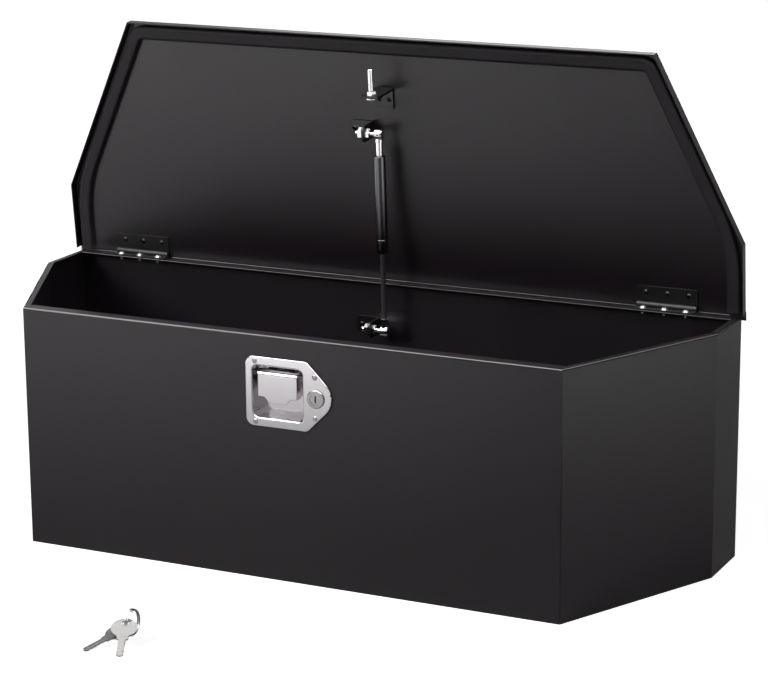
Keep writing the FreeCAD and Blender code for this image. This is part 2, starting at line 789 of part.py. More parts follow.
UPPER_BALL = swung(UPPER_BALL_SHUT, -LID_OPEN_DEG)
STRUT_LENGTH = (UPPER_BALL - LOWER_BALL).Length
STRUT_SHUT_LENGTH = (UPPER_BALL_SHUT - LOWER_BALL).Length


def lean(upper):
    """Forward lean in degrees of the strut, whose upper ball is at the given point."""
    reach = upper - LOWER_BALL
    return math.degrees(math.atan2(-reach.y, reach.z))


STRUT_LEAN = lean(UPPER_BALL)
STRUT_SWING = lean(UPPER_BALL_SHUT) - STRUT_LEAN
STRUT_STROKE = STRUT_LENGTH - STRUT_SHUT_LENGTH
SOCKET_LOW = STRUT_LENGTH - UPPER_SHANK
TUBE_TOP = SOCKET_LOW - END_STUD_LENGTH
TUBE_LOW = TUBE_TOP - TUBE_LENGTH


def ball_in_socket(share):
    """Where the upper ball is, seen from its socket, when the lid has done a share of its travel.

    The strut turns and shortens in step with the lid, so the ball leaves its place a little on the way.
    """
    ball = swung(UPPER_BALL, LID_OPEN_DEG * share) - LOWER_BALL
    back_turn = FreeCAD.Rotation(RIGHT, -(STRUT_LEAN + STRUT_SWING * share))
    return back_turn.multVec(ball) - UP * (STRUT_LENGTH - STRUT_STROKE * share)


def along_strut(shape):
    """A strut piece, modelled upright with the lower ball at the origin, put in its place."""
    return moved(turned(shape, ORIGIN, RIGHT, STRUT_LEAN), LOWER_BALL)


def strut_bracket(reach):
    """Angle bracket on the XY plane: a foot with two screws and a tab that holds the ball stud."""
    half = BRACKET_HEIGHT / 2
    foot_points = [
        Vector(TAB_RIGHT - BRACKET_FOOT, -half, 0),
        Vector(TAB_RIGHT, -half, 0),
        Vector(TAB_RIGHT, half, 0),
        Vector(TAB_RIGHT - BRACKET_FOOT, half, 0),
    ]
    foot = prism(foot_points, [BRACKET_CORNER, 0, 0, BRACKET_CORNER], UP * BRACKET_SHEET)
    tab_points = [
        Vector(TAB_LEFT, -half, 0),
        Vector(TAB_LEFT, half, 0),
        Vector(TAB_LEFT, half, reach + BRACKET_EAR),
        Vector(TAB_LEFT, -half, reach + BRACKET_EAR),
    ]
    tab = prism(tab_points, [0, 0, BRACKET_CORNER, BRACKET_CORNER], RIGHT * BRACKET_SHEET)
    bracket = foot.fuse(tab).removeSplitter()
    bore = BALL_SHANK_RADIUS + RUNNING_FIT
    bracket = bracket.cut(Part.makeCylinder(bore, BRACKET_SHEET, Vector(TAB_LEFT, 0, reach), RIGHT))
    for hole in screw_holes(bracket_screw_places(), BRACKET_SHEET, -UP):
        bracket = bracket.cut(hole)
    return bracket


def bracket_screw_places():
    """Where the screw heads sit on a strut bracket's foot."""
    return [Vector(TAB_RIGHT - far, 0, BRACKET_SHEET) for far in (BRACKET_SCREW_NEAR, BRACKET_SCREW_FAR)]


def bracket_screws(sheet):
    """Two screws through a strut bracket's foot and the sheet below it."""
    one = screw(BRACKET_SCREW_HEAD, BRACKET_SCREW_RISE, BRACKET_SHEET + sheet)
    return Part.makeCompound([moved(one, place) for place in bracket_screw_places()])


def ball_stud(reach):
    """Ball, neck, collar and shank of a ball stud, along X."""
    centre = Vector(0, 0, reach)
    collar_left = centre + RIGHT * TAB_RIGHT
    stud = Part.makeSphere(BALL_RADIUS, centre)
    stud = stud.fuse(Part.makeCylinder(BALL_NECK_RADIUS, BALL_NECK_END, centre, -RIGHT))
    stud = stud.fuse(hexagon(collar_left, RIGHT, COLLAR_ACROSS, COLLAR_LENGTH))
    shank_length = BRACKET_SHEET + BALL_NUT_LENGTH + BALL_SHANK_TIP
    return stud.fuse(Part.makeCylinder(BALL_SHANK_RADIUS, shank_length, collar_left, -RIGHT))


def ball_nut(reach):
    """Nut on the ball stud's shank, behind the bracket's tab."""
    face = Vector(TAB_LEFT, 0, reach)
    nut = hexagon(face, -RIGHT, BALL_NUT_ACROSS, BALL_NUT_LENGTH)
    return nut.cut(Part.makeCylinder(BALL_SHANK_RADIUS, BALL_NUT_LENGTH, face, -RIGHT))


def socket(shank, direction, clearance):
    """Cup for a ball at the origin, with a shank along the strut and a mouth towards the stud."""
    cup = Part.makeCylinder(SOCKET_RADIUS, SOCKET_BACK + SOCKET_MOUTH, Vector(-SOCKET_MOUTH, 0, 0), RIGHT)
    cup = cup.makeFillet(SOCKET_EDGE, [edge for edge in cup.Edges if edge.BoundBox.XMin > 0])
    cup = cup.fuse(Part.makeCylinder(SHANK_RADIUS, shank, ORIGIN, direction))
    cup = cup.cut(Part.makeSphere(BALL_RADIUS + clearance))
    return cup.cut(Part.makeCylinder(SOCKET_MOUTH_RADIUS, SOCKET_RADIUS, ORIGIN, -RIGHT))


def lower_socket():
    """Closed ball cup screwed on the rod's end."""
    cup = socket(LOWER_SHANK, UP, RUNNING_FIT)
    seat = Vector(0, 0, LOWER_SHANK - 2 * THREAD_DEPTH)
    return cup.cut(Part.makeCylinder(ROD_RADIUS, 2 * THREAD_DEPTH, seat))


def upper_socket():
    """Ball cup on the tube's end, open on the lid's side along the ball's path."""
    path = [ball_in_socket(step / PATH_STEPS) for step in range(PATH_STEPS + 1)]
    far = max(path, key=lambda point: point.Length)
    way = Vector(far.x, far.y, far.z).normalize()
    stray = max((point - way * point.dot(way)).Length for point in path)
    cup = socket(UPPER_SHANK, -UP, PIVOT_CLEAR)
    channel = Part.makeCylinder(BALL_RADIUS + PIVOT_CLEAR + stray, far.Length + SOCKET_RADIUS, ORIGIN, way)
    cup = cup.cut(channel)
    seat = Vector(0, 0, -UPPER_SHANK)
    cup = cup.cut(Part.makeCylinder(END_STUD_RADIUS, THREAD_DEPTH, seat))
    return moved(cup, UP * STRUT_LENGTH)


def strut_rod():
    """Rod from the lower socket to the piston."""
    start = LOWER_SHANK - 2 * THREAD_DEPTH
    end = TUBE_LOW + TUBE_LIP + GLAND_LENGTH + PISTON_GAP + PISTON_LENGTH
    return Part.makeCylinder(ROD_RADIUS, end - start, UP * start)


def strut_piston():
    """Piston on the rod's upper end, inside the tube."""
    start = TUBE_LOW + TUBE_LIP + GLAND_LENGTH + PISTON_GAP
    return ring(UP * start, UP, TUBE_RADIUS - TUBE_WALL - RUNNING_FIT, ROD_RADIUS, PISTON_LENGTH)


def strut_gland():
    """Guide and seal for the rod in the tube's lower end."""
    start = TUBE_LOW + TUBE_LIP
    return ring(UP * start, UP, TUBE_RADIUS - TUBE_WALL, ROD_RADIUS + RUNNING_FIT, GLAND_LENGTH)


def strut_tube():
    """Pressure tube with a rolled lower lip, a crimp groove and a closed top."""
    inner = TUBE_RADIUS - TUBE_WALL
    lip = ROD_RADIUS + TUBE_LIP / 2
    outline = [
        Vector(lip, 0, TUBE_LOW),
        Vector(TUBE_RADIUS, 0, TUBE_LOW),
        Vector(TUBE_RADIUS, 0, TUBE_TOP),
        Vector(0, 0, TUBE_TOP),
        Vector(0, 0, TUBE_TOP - TUBE_CAP),
        Vector(inner, 0, TUBE_TOP - TUBE_CAP),
        Vector(inner, 0, TUBE_LOW + TUBE_LIP),
        Vector(lip, 0, TUBE_LOW + TUBE_LIP),
    ]
    tube = rounded_face(outline, [0, TUBE_EDGE, TUBE_EDGE, 0, 0, 0, 0, 0]).revolve(ORIGIN, UP, 360)
    crimp_reach = TUBE_RADIUS + CRIMP_RADIUS - CRIMP_DEPTH
    crimp = Part.makeTorus(crimp_reach, CRIMP_RADIUS, UP * (TUBE_LOW + CRIMP_RISE))
    return tube.cut(crimp)


def strut_end_stud():
    """Threaded stud between the tube and the upper socket."""
    return Part.makeCylinder(END_STUD_RADIUS, END_STUD_LENGTH + THREAD_DEPTH, UP * TUBE_TOP)


# Paddle latch

def plate_points(grow, y):
    """Corners of the latch plate: straight on the left, pointed on the right."""
    half = LATCH_HEIGHT / 2 + grow
    point_grow = grow * math.sqrt(2)
    shoulder = LATCH_SHOULDER + point_grow - grow
    return [
        Vector(LATCH_LEFT - grow, y, LATCH_Z - half),
        Vector(shoulder, y, LATCH_Z - half),
        Vector(shoulder + half, y, LATCH_Z),
        Vector(shoulder, y, LATCH_Z + half),
        Vector(LATCH_LEFT - grow, y, LATCH_Z + half),
    ]


def plate_slab(grow, y_low, y_high):
    """A slab in the latch plate's outline."""
    radii = [PLATE_CORNER, SHOULDER_CORNER, NOSE_CORNER, SHOULDER_CORNER, PLATE_CORNER]
    radii = [radius + grow for radius in radii]
    return prism(plate_points(grow, y_low), radii, BACK * (y_high - y_low))


def rivet_places():
    """Where the latch's four rivets sit on the plate's face."""
    places = []
    for side in (-1, 1):
        places.append(Vector(LATCH_LEFT + LEFT_RIVET_INSET, FACE_Y, LATCH_Z + side * LEFT_RIVET_SPREAD))
        places.append(Vector(RIGHT_RIVET_X, FACE_Y, LATCH_Z + side * RIGHT_RIVET_SPREAD))
    return places


def rivet_holes():
    """Holes for the rivets through plate, gasket and wall."""
    length = FRONT_Y + SHEET - FACE_Y
    holes = [Part.makeCylinder(RIVET_SHANK, length, place, BACK) for place in rivet_places()]
    return Part.makeCompound(holes)


def latch_rivets():
    """Four round-headed rivets that hold the latch to the wall."""
    length = FRONT_Y + SHEET - FACE_Y + RIVET_TAIL
    rivets = []
    for place in rivet_places():
        head = Part.makeCylinder(RIVET_RADIUS, RIVET_RISE, place, -BACK)
        rim = [edge for edge in head.Edges if edge.BoundBox.YMax < place.y - RIVET_RISE / 2]
        head = head.makeFillet(RIVET_RISE * HEAD_ROUND, rim)
        tail = Part.makeCylinder(RIVET_SHANK, length, place, BACK)
        rivets.append(head.fuse(tail))
    return Part.makeCompound(rivets)


def lock_hole():
    """Hole for the lock's barrel through plate, gasket and wall."""
    return Part.makeCylinder(BARREL_RADIUS, BARREL_LENGTH, LOCK, BACK)


def pan_block(grow, y_low, y_high):
    """The pan's space, or its outside when grown by the wall."""
    return upright_block(PAN_CENTRE_X, LATCH_Z, PAN_WIDTH + 2 * grow, PAN_HEIGHT + 2 * grow,
                         PAN_CORNER + grow, y_low, y_high)


def arm_slot(y_low, y_high):
    """Slot through which the catch's arm reaches the paddle's lever."""
    return block(CATCH_LEFT - SLOT_CLEAR, CATCH_RIGHT + SLOT_CLEAR, y_low, y_high,
                 PADDLE_PIN.z - SLOT_BELOW, PADDLE_PIN.z + SLOT_ABOVE)


def latch_plate():
    """Face plate and pan pressed from one sheet."""
    plate = plate_slab(0, FACE_Y, SEAT_Y)
    rim = [edge for edge in plate.Edges if edge.BoundBox.YMax < FACE_Y + PLATE / 2]
    plate = plate.makeFillet(PLATE_EDGE, rim)
    plate = plate.fuse(pan_block(PAN_WALL, FACE_Y + PLATE / 2, PAN_REAR_Y))
    plate = plate.fuse(pan_block(PAN_COLLAR, FACE_Y + PLATE / 2, FACE_Y + COLLAR_DEPTH))
    plate = plate.cut(pan_block(0, FACE_Y - MARGIN, PAN_BACK_Y))
    inside = pan_block(PAN_WALL, FACE_Y - MARGIN, PAN_BACK_Y).BoundBox
    mouth = [edge for edge in plate.Edges if edge.BoundBox.YMax < FACE_Y + PLATE / 4
             and inside.isInside(edge.BoundBox.Center)]
    plate = plate.makeFillet(MOUTH_ROUND, mouth)
    plate = plate.cut(arm_slot(PAN_BACK_Y, PAN_REAR_Y))
    plate = plate.cut(lock_hole()).cut(rivet_holes())
    span = PAN_WIDTH + 4 * PAN_WALL
    pin = Part.makeCylinder(PADDLE_PIN_RADIUS, span, PADDLE_PIN - RIGHT * span / 2, RIGHT)
    return plate.cut(pin)


def latch_gasket():
    """Thin rubber sheet between the plate and the wall."""
    gasket = plate_slab(GASKET_SHOWS, SEAT_Y, FRONT_Y)
    gasket = gasket.cut(pan_block(PAN_COLLAR, SEAT_Y, FRONT_Y))
    return gasket.cut(lock_hole()).cut(rivet_holes())


def paddle_outline(y):
    """Corners of the paddle's face, with a finger tab in the middle of its lower edge."""
    half = PADDLE_WIDTH / 2
    low = PADDLE_TOP_Z - PADDLE_HEIGHT
    side_points = [
        (half, PADDLE_TOP_Z),
        (half, low),
        (TAB_ROOT / 2, low),
        (TAB_WIDTH / 2, low - TAB_DROP),
    ]
    right = [Vector(PAN_CENTRE_X + x, y, z) for x, z in side_points]
    left = [Vector(PAN_CENTRE_X - x, y, z) for x, z in reversed(side_points)]
    return right + left


def paddle():
    """Pull paddle: a pressed face with side flanges, ears on the pin and a lever for the catch."""
    radii = [PADDLE_EDGE, PADDLE_EDGE, TAB_CORNER, TAB_CORNER]
    shell = prism(paddle_outline(FACE_Y), radii + radii[::-1], BACK * PADDLE_FLANGE)
    rim = [edge for edge in shell.Edges if edge.BoundBox.YMax < FACE_Y + PADDLE_SHEET]
    shell = shell.makeFillet(PADDLE_ROUND, rim)
    half = PADDLE_WIDTH / 2
    left = PAN_CENTRE_X - half
    right = PAN_CENTRE_X + half
    low = PADDLE_TOP_Z - PADDLE_HEIGHT
    back_y = FACE_Y + PADDLE_FLANGE + MARGIN
    hollow = block(left + PADDLE_SHEET, right - PADDLE_SHEET, FACE_Y + PADDLE_SHEET, back_y,
                   low - TAB_DROP - MARGIN, PADDLE_TOP_Z - PADDLE_SHEET)
    inner_edge = [edge for edge in hollow.Edges if edge.BoundBox.YMax < FACE_Y + PADDLE_SHEET + PADDLE_ROUND
                  and edge.BoundBox.ZMin > PADDLE_TOP_Z - PADDLE_SHEET - PADDLE_ROUND]
    hollow = hollow.makeFillet(PADDLE_TOP_ROUND - PADDLE_SHEET, inner_edge)
    shell = shell.cut(hollow).cut(paddle_top_waste(left, right))
    for ear_left in (left, right - PADDLE_SHEET):
        shell = shell.fuse(pin_ear(ear_left, PADDLE_SHEET, EAR_RADIUS))
    lever_points = [
        Vector(CATCH_LEFT, FACE_Y + PADDLE_SHEET, PADDLE_PIN.z - LEVER_BELOW),
        Vector(CATCH_LEFT, PADDLE_PIN.y + LEVER_REACH, PADDLE_PIN.z - LEVER_BELOW),
        Vector(CATCH_LEFT, PADDLE_PIN.y + LEVER_REACH, PADDLE_PIN.z + LEVER_BELOW / 2),
        Vector(CATCH_LEFT, PADDLE_PIN.y, PADDLE_PIN.z + LEVER_ABOVE),
        Vector(CATCH_LEFT, FACE_Y + PADDLE_SHEET, PADDLE_PIN.z + LEVER_ABOVE),
    ]
    shell = shell.fuse(sharp_prism(lever_points, RIGHT * CATCH_WIDTH))
    shell = shell.fuse(pin_ear(CATCH_LEFT, CATCH_WIDTH, EAR_RADIUS))
    bore = PADDLE_PIN_RADIUS + RUNNING_FIT
    hole = Part.makeCylinder(bore, 2 * PADDLE_WIDTH, PADDLE_PIN - RIGHT * PADDLE_WIDTH, RIGHT)
    return shell.cut(hole).removeSplitter()


def paddle_top_waste(left, right):
    """What is taken off the paddle's upper edge to roll it over."""
    axle_y = FACE_Y + PADDLE_TOP_ROUND
    axle_z = PADDLE_TOP_Z - PADDLE_TOP_ROUND
    waste = block(left, right, FACE_Y - MARGIN, axle_y, axle_z, PADDLE_TOP_Z + MARGIN)
    return waste.cut(Part.makeCylinder(PADDLE_TOP_ROUND, right - left, Vector(left, axle_y, axle_z), RIGHT))


def pin_ear(left, width, radius):
    """Round-ended ear from the paddle's face to its pin."""
    web = block(left, left + width, FACE_Y + PADDLE_SHEET, PADDLE_PIN.y,
                PADDLE_PIN.z - radius, PADDLE_PIN.z + radius)
    return web.fuse(Part.makeCylinder(radius, width, Vector(left, PADDLE_PIN.y, PADDLE_PIN.z), RIGHT))


def paddle_pin():
    """Pin across the pan, riveted in its side walls."""
    span = PAN_WIDTH + 2 * (PAN_WALL + PADDLE_PIN_TAIL)
    return Part.makeCylinder(PADDLE_PIN_RADIUS, span, PADDLE_PIN - RIGHT * span / 2, RIGHT)


def paddle_spring():
    """Return spring wound round the paddle's pin."""
    radius = PADDLE_PIN_RADIUS + SPRING_CLEAR + SPRING_WIRE
    start = PADDLE_PIN - RIGHT * SPRING_PITCH * SPRING_TURNS
    return moved(coil(radius, SPRING_PITCH, SPRING_TURNS, SPRING_WIRE), start)


def catch():
    """Hook that swings forward off the stud when the paddle's lever presses its arm down."""
    nose_low = STUD_Z + STUD_RADIUS + CATCH_GAP
    nose_high = nose_low + CATCH_NOSE
    front_y = CATCH_PIVOT.y - CATCH_HALF
    nose_back = STUD_TIP_Y + CATCH_LAP
    hub = Part.makeCylinder(CATCH_HUB, CATCH_WIDTH, Vector(CATCH_LEFT, CATCH_PIVOT.y, CATCH_PIVOT.z), RIGHT)
    upright = block(CATCH_LEFT, CATCH_RIGHT, front_y, CATCH_PIVOT.y + CATCH_HALF, CATCH_PIVOT.z, nose_high)
    arm_top = PADDLE_PIN.z - LEVER_BELOW - ARM_GAP
    arm = block(CATCH_LEFT, CATCH_RIGHT, PADDLE_PIN.y + ARM_START, CATCH_PIVOT.y,
                arm_top - ARM_HEIGHT, arm_top)
    nose_left = -STUD_RADIUS - CATCH_PAST_STUD
    nose_points = [
        Vector(nose_left, front_y, nose_low),
        Vector(nose_left, nose_back, nose_low),
        Vector(nose_left, nose_back, nose_high - CATCH_SLOPE),
        Vector(nose_left, nose_back - CATCH_SLOPE, nose_high),
        Vector(nose_left, front_y, nose_high),
    ]
    nose = sharp_prism(nose_points, RIGHT * (CATCH_RIGHT - nose_left))
    body = hub.fuse(upright).fuse(arm).fuse(nose)
    bore = CATCH_PIN_RADIUS + RUNNING_FIT
    base = Vector(CATCH_LEFT, CATCH_PIVOT.y, CATCH_PIVOT.z)
    return body.cut(Part.makeCylinder(bore, CATCH_WIDTH, base, RIGHT)).removeSplitter()


def catch_bracket():
    """Bracket behind the pan: a slotted foot and two ears for the catch's pin."""
    low = CATCH_PIVOT.z - CATCH_FOOT_HALF
    high = CATCH_PIVOT.z + CATCH_FOOT_HALF
    ear_lefts = (CATCH_LEFT - EAR_CLEAR - EAR_SHEET, CATCH_RIGHT + EAR_CLEAR)
    foot_back = PAN_REAR_Y + CATCH_FOOT_SHEET
    bracket = block(ear_lefts[0] - CATCH_FOOT, ear_lefts[1] + EAR_SHEET + CATCH_FOOT,
                    PAN_REAR_Y, foot_back, low, high)
    bracket = bracket.cut(arm_slot(PAN_REAR_Y, foot_back))
    for ear_left in ear_lefts:
        ear = block(ear_left, ear_left + EAR_SHEET, PAN_REAR_Y, CATCH_PIVOT.y,
                    CATCH_PIVOT.z - CATCH_HUB, CATCH_PIVOT.z + CATCH_HUB)
        eye = Vector(ear_left, CATCH_PIVOT.y, CATCH_PIVOT.z)
        ear = ear.fuse(Part.makeCylinder(CATCH_HUB, EAR_SHEET, eye, RIGHT))
        bracket = bracket.fuse(ear)
    span = ear_lefts[1] + EAR_SHEET - ear_lefts[0]
    base = Vector(ear_lefts[0], CATCH_PIVOT.y, CATCH_PIVOT.z)
    return bracket.cut(Part.makeCylinder(CATCH_PIN_RADIUS, span, base, RIGHT)).removeSplitter()


def catch_pin():
    """Pin through the bracket's ears and the catch."""
    span = CATCH_WIDTH + 2 * (EAR_CLEAR + EAR_SHEET + PADDLE_PIN_TAIL)
    base = CATCH_PIVOT - RIGHT * span / 2
    return Part.makeCylinder(CATCH_PIN_RADIUS, span, base, RIGHT)


# Key lock

def lock_barrel():
    """Fixed barrel with a round collar in front of the plate."""
    barrel = Part.makeCylinder(BARREL_RADIUS, BARREL_LENGTH, LOCK, BACK)
    collar = Part.makeCylinder(LOCK_RADIUS, LOCK_RISE, LOCK, -BACK)
    rim = [edge for edge in collar.Edges if edge.BoundBox.YMax < FACE_Y - LOCK_RISE / 2]
    collar = collar.makeFillet(LOCK_EDGE, rim)
    bore_start = LOCK - BACK * (LOCK_RISE + MARGIN)
    bore_length = BARREL_LENGTH + LOCK_RISE + 2 * MARGIN
    bore = Part.makeCylinder(PLUG_RADIUS + RUNNING_FIT, bore_length, bore_start, BACK)
    return barrel.fuse(collar).cut(bore)


def lock_plug():
    """Turning plug with an upright keyway and a neck for the cam."""
    front = LOCK - BACK * (LOCK_RISE - PLUG_SUNK)
    length = BARREL_LENGTH + LOCK_RISE - PLUG_SUNK + CAM_GAP
    plug = Part.makeCylinder(PLUG_RADIUS, length, front, BACK)
    neck = Part.makeCylinder(CAM_NECK_RADIUS, CAM_SHEET, front + BACK * length, BACK)
    keyway = block(LOCK.x - KEYWAY_WIDTH / 2, LOCK.x + KEYWAY_WIDTH / 2,
                   front.y - MARGIN, front.y + KEYWAY_DEPTH,
                   LOCK.z - KEYWAY_HEIGHT / 2, LOCK.z + KEYWAY_HEIGHT / 2)
    return plug.fuse(neck).cut(keyway)


def lock_nut():
    """Nut that draws the barrel against the inside of the wall."""
    base = Vector(LOCK.x, FRONT_Y + SHEET, LOCK.z)
    nut = hexagon(base, BACK, LOCK_NUT_ACROSS, LOCK_NUT_HEIGHT)
    return nut.cut(Part.makeCylinder(BARREL_RADIUS, LOCK_NUT_HEIGHT, base, BACK))


def cam_base():
    """Middle of the cam's front face."""
    return LOCK + BACK * (BARREL_LENGTH + CAM_GAP)


def lock_cam():
    """Cam arm on the plug's rear end, hanging down when the lock is open."""
    base = cam_base()
    arm = block(base.x - CAM_HALF, base.x + CAM_HALF, base.y, base.y + CAM_SHEET,
                base.z - CAM_LENGTH, base.z)
    arm = arm.fuse(Part.makeCylinder(CAM_HALF, CAM_SHEET, base, BACK))
    return arm.cut(Part.makeCylinder(CAM_NECK_RADIUS, CAM_SHEET, base, BACK)).removeSplitter()


def cam_screw():
    """Screw head that keeps the cam on the plug."""
    base = cam_base() + BACK * CAM_SHEET
    head = Part.makeCylinder(CAM_SCREW_HEAD, CAM_SCREW_RISE, base, BACK)
    rim = [edge for edge in head.Edges if edge.BoundBox.YMin > base.y + CAM_SCREW_RISE / 2]
    return head.makeFillet(CAM_SCREW_RISE * HEAD_ROUND, rim)


# Keys

KEY_HOLE_X = KEY_LENGTH - KEY_HOLE_RIM
KEY_BOW_X = KEY_LENGTH - KEY_BOW


def flat_key():
    """A key lying along X with its tip at the origin: round dished bow, shoulder and cut blade."""
    bow = Part.makeCylinder(KEY_BOW, KEY_SHEET, Vector(KEY_BOW_X, 0, 0))
    shoulder_x = KEY_BOW_X - KEY_BOW - KEY_SHOULDER_LENGTH
    neck_points = [
        Vector(shoulder_x, -KEY_SHOULDER / 2, 0),
        Vector(shoulder_x + KEY_SHOULDER_LENGTH, -KEY_SHOULDER / 2, 0),
        Vector(KEY_BOW_X, -KEY_FLARE / 2, 0),
        Vector(KEY_BOW_X, KEY_FLARE / 2, 0),
        Vector(shoulder_x + KEY_SHOULDER_LENGTH, KEY_SHOULDER / 2, 0),
        Vector(shoulder_x, KEY_SHOULDER / 2, 0),
    ]
    neck = sharp_prism(neck_points, UP * KEY_SHEET)
    blade_points = [
        Vector(0, -KEY_TIP / 2, 0),
        Vector(KEY_TIP, -KEY_BLADE / 2, 0),
        Vector(KEY_BOW_X, -KEY_BLADE / 2, 0),
        Vector(KEY_BOW_X, KEY_BLADE / 2, 0),
        Vector(KEY_TIP, KEY_BLADE / 2, 0),
        Vector(0, KEY_TIP / 2, 0),
    ]
    key = bow.fuse(neck).fuse(sharp_prism(blade_points, UP * KEY_SHEET))
    pitch = (shoulder_x - 2 * KEY_TIP) / len(KEY_CUT_DEPTHS)
    for number, depth in enumerate(KEY_CUT_DEPTHS):
        middle = 2 * KEY_TIP + pitch * (number + 0.5)
        edge = -KEY_BLADE / 2
        notch = [
            Vector(middle - pitch / 2, edge - MARGIN, 0),
            Vector(middle + pitch / 2, edge - MARGIN, 0),
            Vector(middle + KEY_CUT_FLAT / 2, edge + depth, 0),
            Vector(middle - KEY_CUT_FLAT / 2, edge + depth, 0),
        ]
        key = key.cut(sharp_prism(notch, UP * KEY_SHEET))
    dish = Part.makeCylinder(KEY_BOW - KEY_RIM, KEY_DISH, Vector(KEY_BOW_X, 0, KEY_SHEET - KEY_DISH))
    eye = Vector(KEY_HOLE_X, 0, 0)
    dish = dish.cut(Part.makeCylinder(KEY_HOLE + KEY_RIM, KEY_SHEET, eye))
    key = key.cut(dish)
    groove_z = KEY_SHEET - KEY_GROOVE_DEPTH
    groove_end = KEY_BOW_X - KEY_BOW
    for low, width in ((KEY_RIDGE / 2, KEY_SIDE_GROOVE), (-KEY_RIDGE / 2 - KEY_WIDE_GROOVE, KEY_WIDE_GROOVE)):
        key = key.cut(block(-MARGIN, groove_end, low, low + width, groove_z, KEY_SHEET))
    return key.cut(Part.makeCylinder(KEY_HOLE, KEY_SHEET, eye)).removeSplitter()


def ring_offset(height):
    """Distance along the floor from the ring's middle to its wire at a height."""
    drop = RING_RADIUS + RING_WIRE - height
    return math.sqrt(max(RING_RADIUS ** 2 - drop ** 2, 0))


def placed_key(number):
    """One key leaning from its tip on the floor to the ring, slipped along until its hole meets the wire."""
    rise = KEY_RISES[number]
    slope = math.degrees(math.asin(rise / KEY_HOLE_X))
    key = turned(flat_key(), ORIGIN, BACK, -slope)
    hole_x = KEY_HOLE_X * math.cos(math.radians(slope)) - KEY_SHEET / 2 * math.sin(math.radians(slope))
    key = moved(key, -RIGHT * (hole_x + KEY_SLIPS[number]))
    side = -1 if number == 0 else 1
    key = turned(key, ORIGIN, UP, side * KEY_SPREAD)
    key = moved(key, -RIGHT * ring_offset(rise + KEY_SHEET / 2))
    return on_key_spot(key)


def on_key_spot(shape):
    """Key pieces, modelled round the ring's middle, put on the floor in front of the box."""
    return moved(turned(shape, ORIGIN, UP, KEY_RING_TURN), Vector(KEY_RING_X, KEY_RING_Y, 0))


def key_ring():
    """Split ring of two turns, standing in the keys' holes."""
    wire = coil(RING_RADIUS, RING_PITCH, RING_TURNS, RING_WIRE)
    wire = moved(wire, Vector(-RING_PITCH * RING_TURNS / 2, 0, RING_RADIUS + RING_WIRE))
    return on_key_spot(turned(wire, ORIGIN, UP, 90))


def build():
    """All the pieces by name, in their open places."""
    parts = {
        "front_panel": front_panel(),
        "right_side_panel": side_panel(RIGHT_SLANT, RIGHT_END, ((SEAM_BEVEL, 0), (0, 0))),
        "left_side_panel": side_panel(LEFT_SLANT, LEFT_END, ((0, SEAM_BEVEL), (0, 0))),
        "back_panel": back_panel(),
        "floor_panel": floor_panel(),
        "lid_panel": opened(lid_panel()),
        "lid_seal": opened(lid_seal()),
        "box_hinge_screws": box_hinge_screws(),
        "lid_hinge_screws": opened(lid_hinge_screws()),
        "striker_bracket": opened(striker_bracket()),
        "striker_screws": opened(striker_screws()),
        "striker_stud": opened(striker_stud()),
        "striker_nut": opened(striker_nut()),
        "lower_strut_bracket": on_back_wall(strut_bracket(LOWER_BALL_REACH)),
        "lower_bracket_screws": on_back_wall(bracket_screws(SHEET)),
        "lower_ball_stud": on_back_wall(ball_stud(LOWER_BALL_REACH)),
        "lower_ball_nut": on_back_wall(ball_nut(LOWER_BALL_REACH)),
        "upper_strut_bracket": opened(on_lid(strut_bracket(UPPER_BALL_REACH))),
        "upper_bracket_screws": opened(on_lid(bracket_screws(LID_SHEET))),
        "upper_ball_stud": opened(on_lid(ball_stud(UPPER_BALL_REACH))),
        "upper_ball_nut": opened(on_lid(ball_nut(UPPER_BALL_REACH))),
        "lower_strut_socket": along_strut(lower_socket()),
        "strut_rod": along_strut(strut_rod()),
        "strut_piston": along_strut(strut_piston()),
        "strut_gland": along_strut(strut_gland()),
        "strut_tube": along_strut(strut_tube()),
        "strut_end_stud": along_strut(strut_end_stud()),
        "upper_strut_socket": along_strut(upper_socket()),
        "latch_plate": latch_plate(),
        "latch_gasket": latch_gasket(),
        "latch_rivets": latch_rivets(),
        "paddle": paddle(),
        "paddle_pin": paddle_pin(),
        "paddle_spring": paddle_spring(),
        "catch": catch(),
        "catch_bracket": catch_bracket(),
        "catch_pin": catch_pin(),
        "lock_barrel": lock_barrel(),
        "lock_plug": lock_plug(),
        "lock_nut": lock_nut(),
        "lock_cam": lock_cam(),
        "lock_cam_screw": cam_screw(),
        "key_ring": key_ring(),
        "first_key": placed_key(0),
        "second_key": placed_key(1),
    }
    for name, centre_x in (("left", -HINGE_CENTRE_X), ("right", HINGE_CENTRE_X)):
        parts[name + "_hinge_box_leaf"] = box_leaf(centre_x)
        parts[name + "_hinge_lid_leaf"] = opened(lid_leaf(centre_x))
        parts[name + "_hinge_pin"] = hinge_pin(centre_x)
    return parts


os.makedirs("parts", exist_ok=True)
print("strut lean", STRUT_LEAN, "swing", STRUT_SWING, "degrees, stroke", STRUT_STROKE, "mm")
for node, shape in build().items():
    state = "valid" if shape.isValid() else "NOT VALID"
    print(node, len(shape.Solids), "solids,", state, round(shape.Volume, 1), "mm3")
    shape.exportStep("parts/" + node + ".step")
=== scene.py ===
# %% [markdown]
# # Dressing a trailer tongue toolbox
# The CAD frame already holds every panel, hinge, screw and spring of the box in its true place.
# This notebook gives each of them a real finish, models the small things that the eye looks for,
# such as screw threads and the lid's rubber strip, and lights the box like a catalogue picture.

# %% Load the frame
import json
import math

import bpy
from mathutils import Matrix, Vector


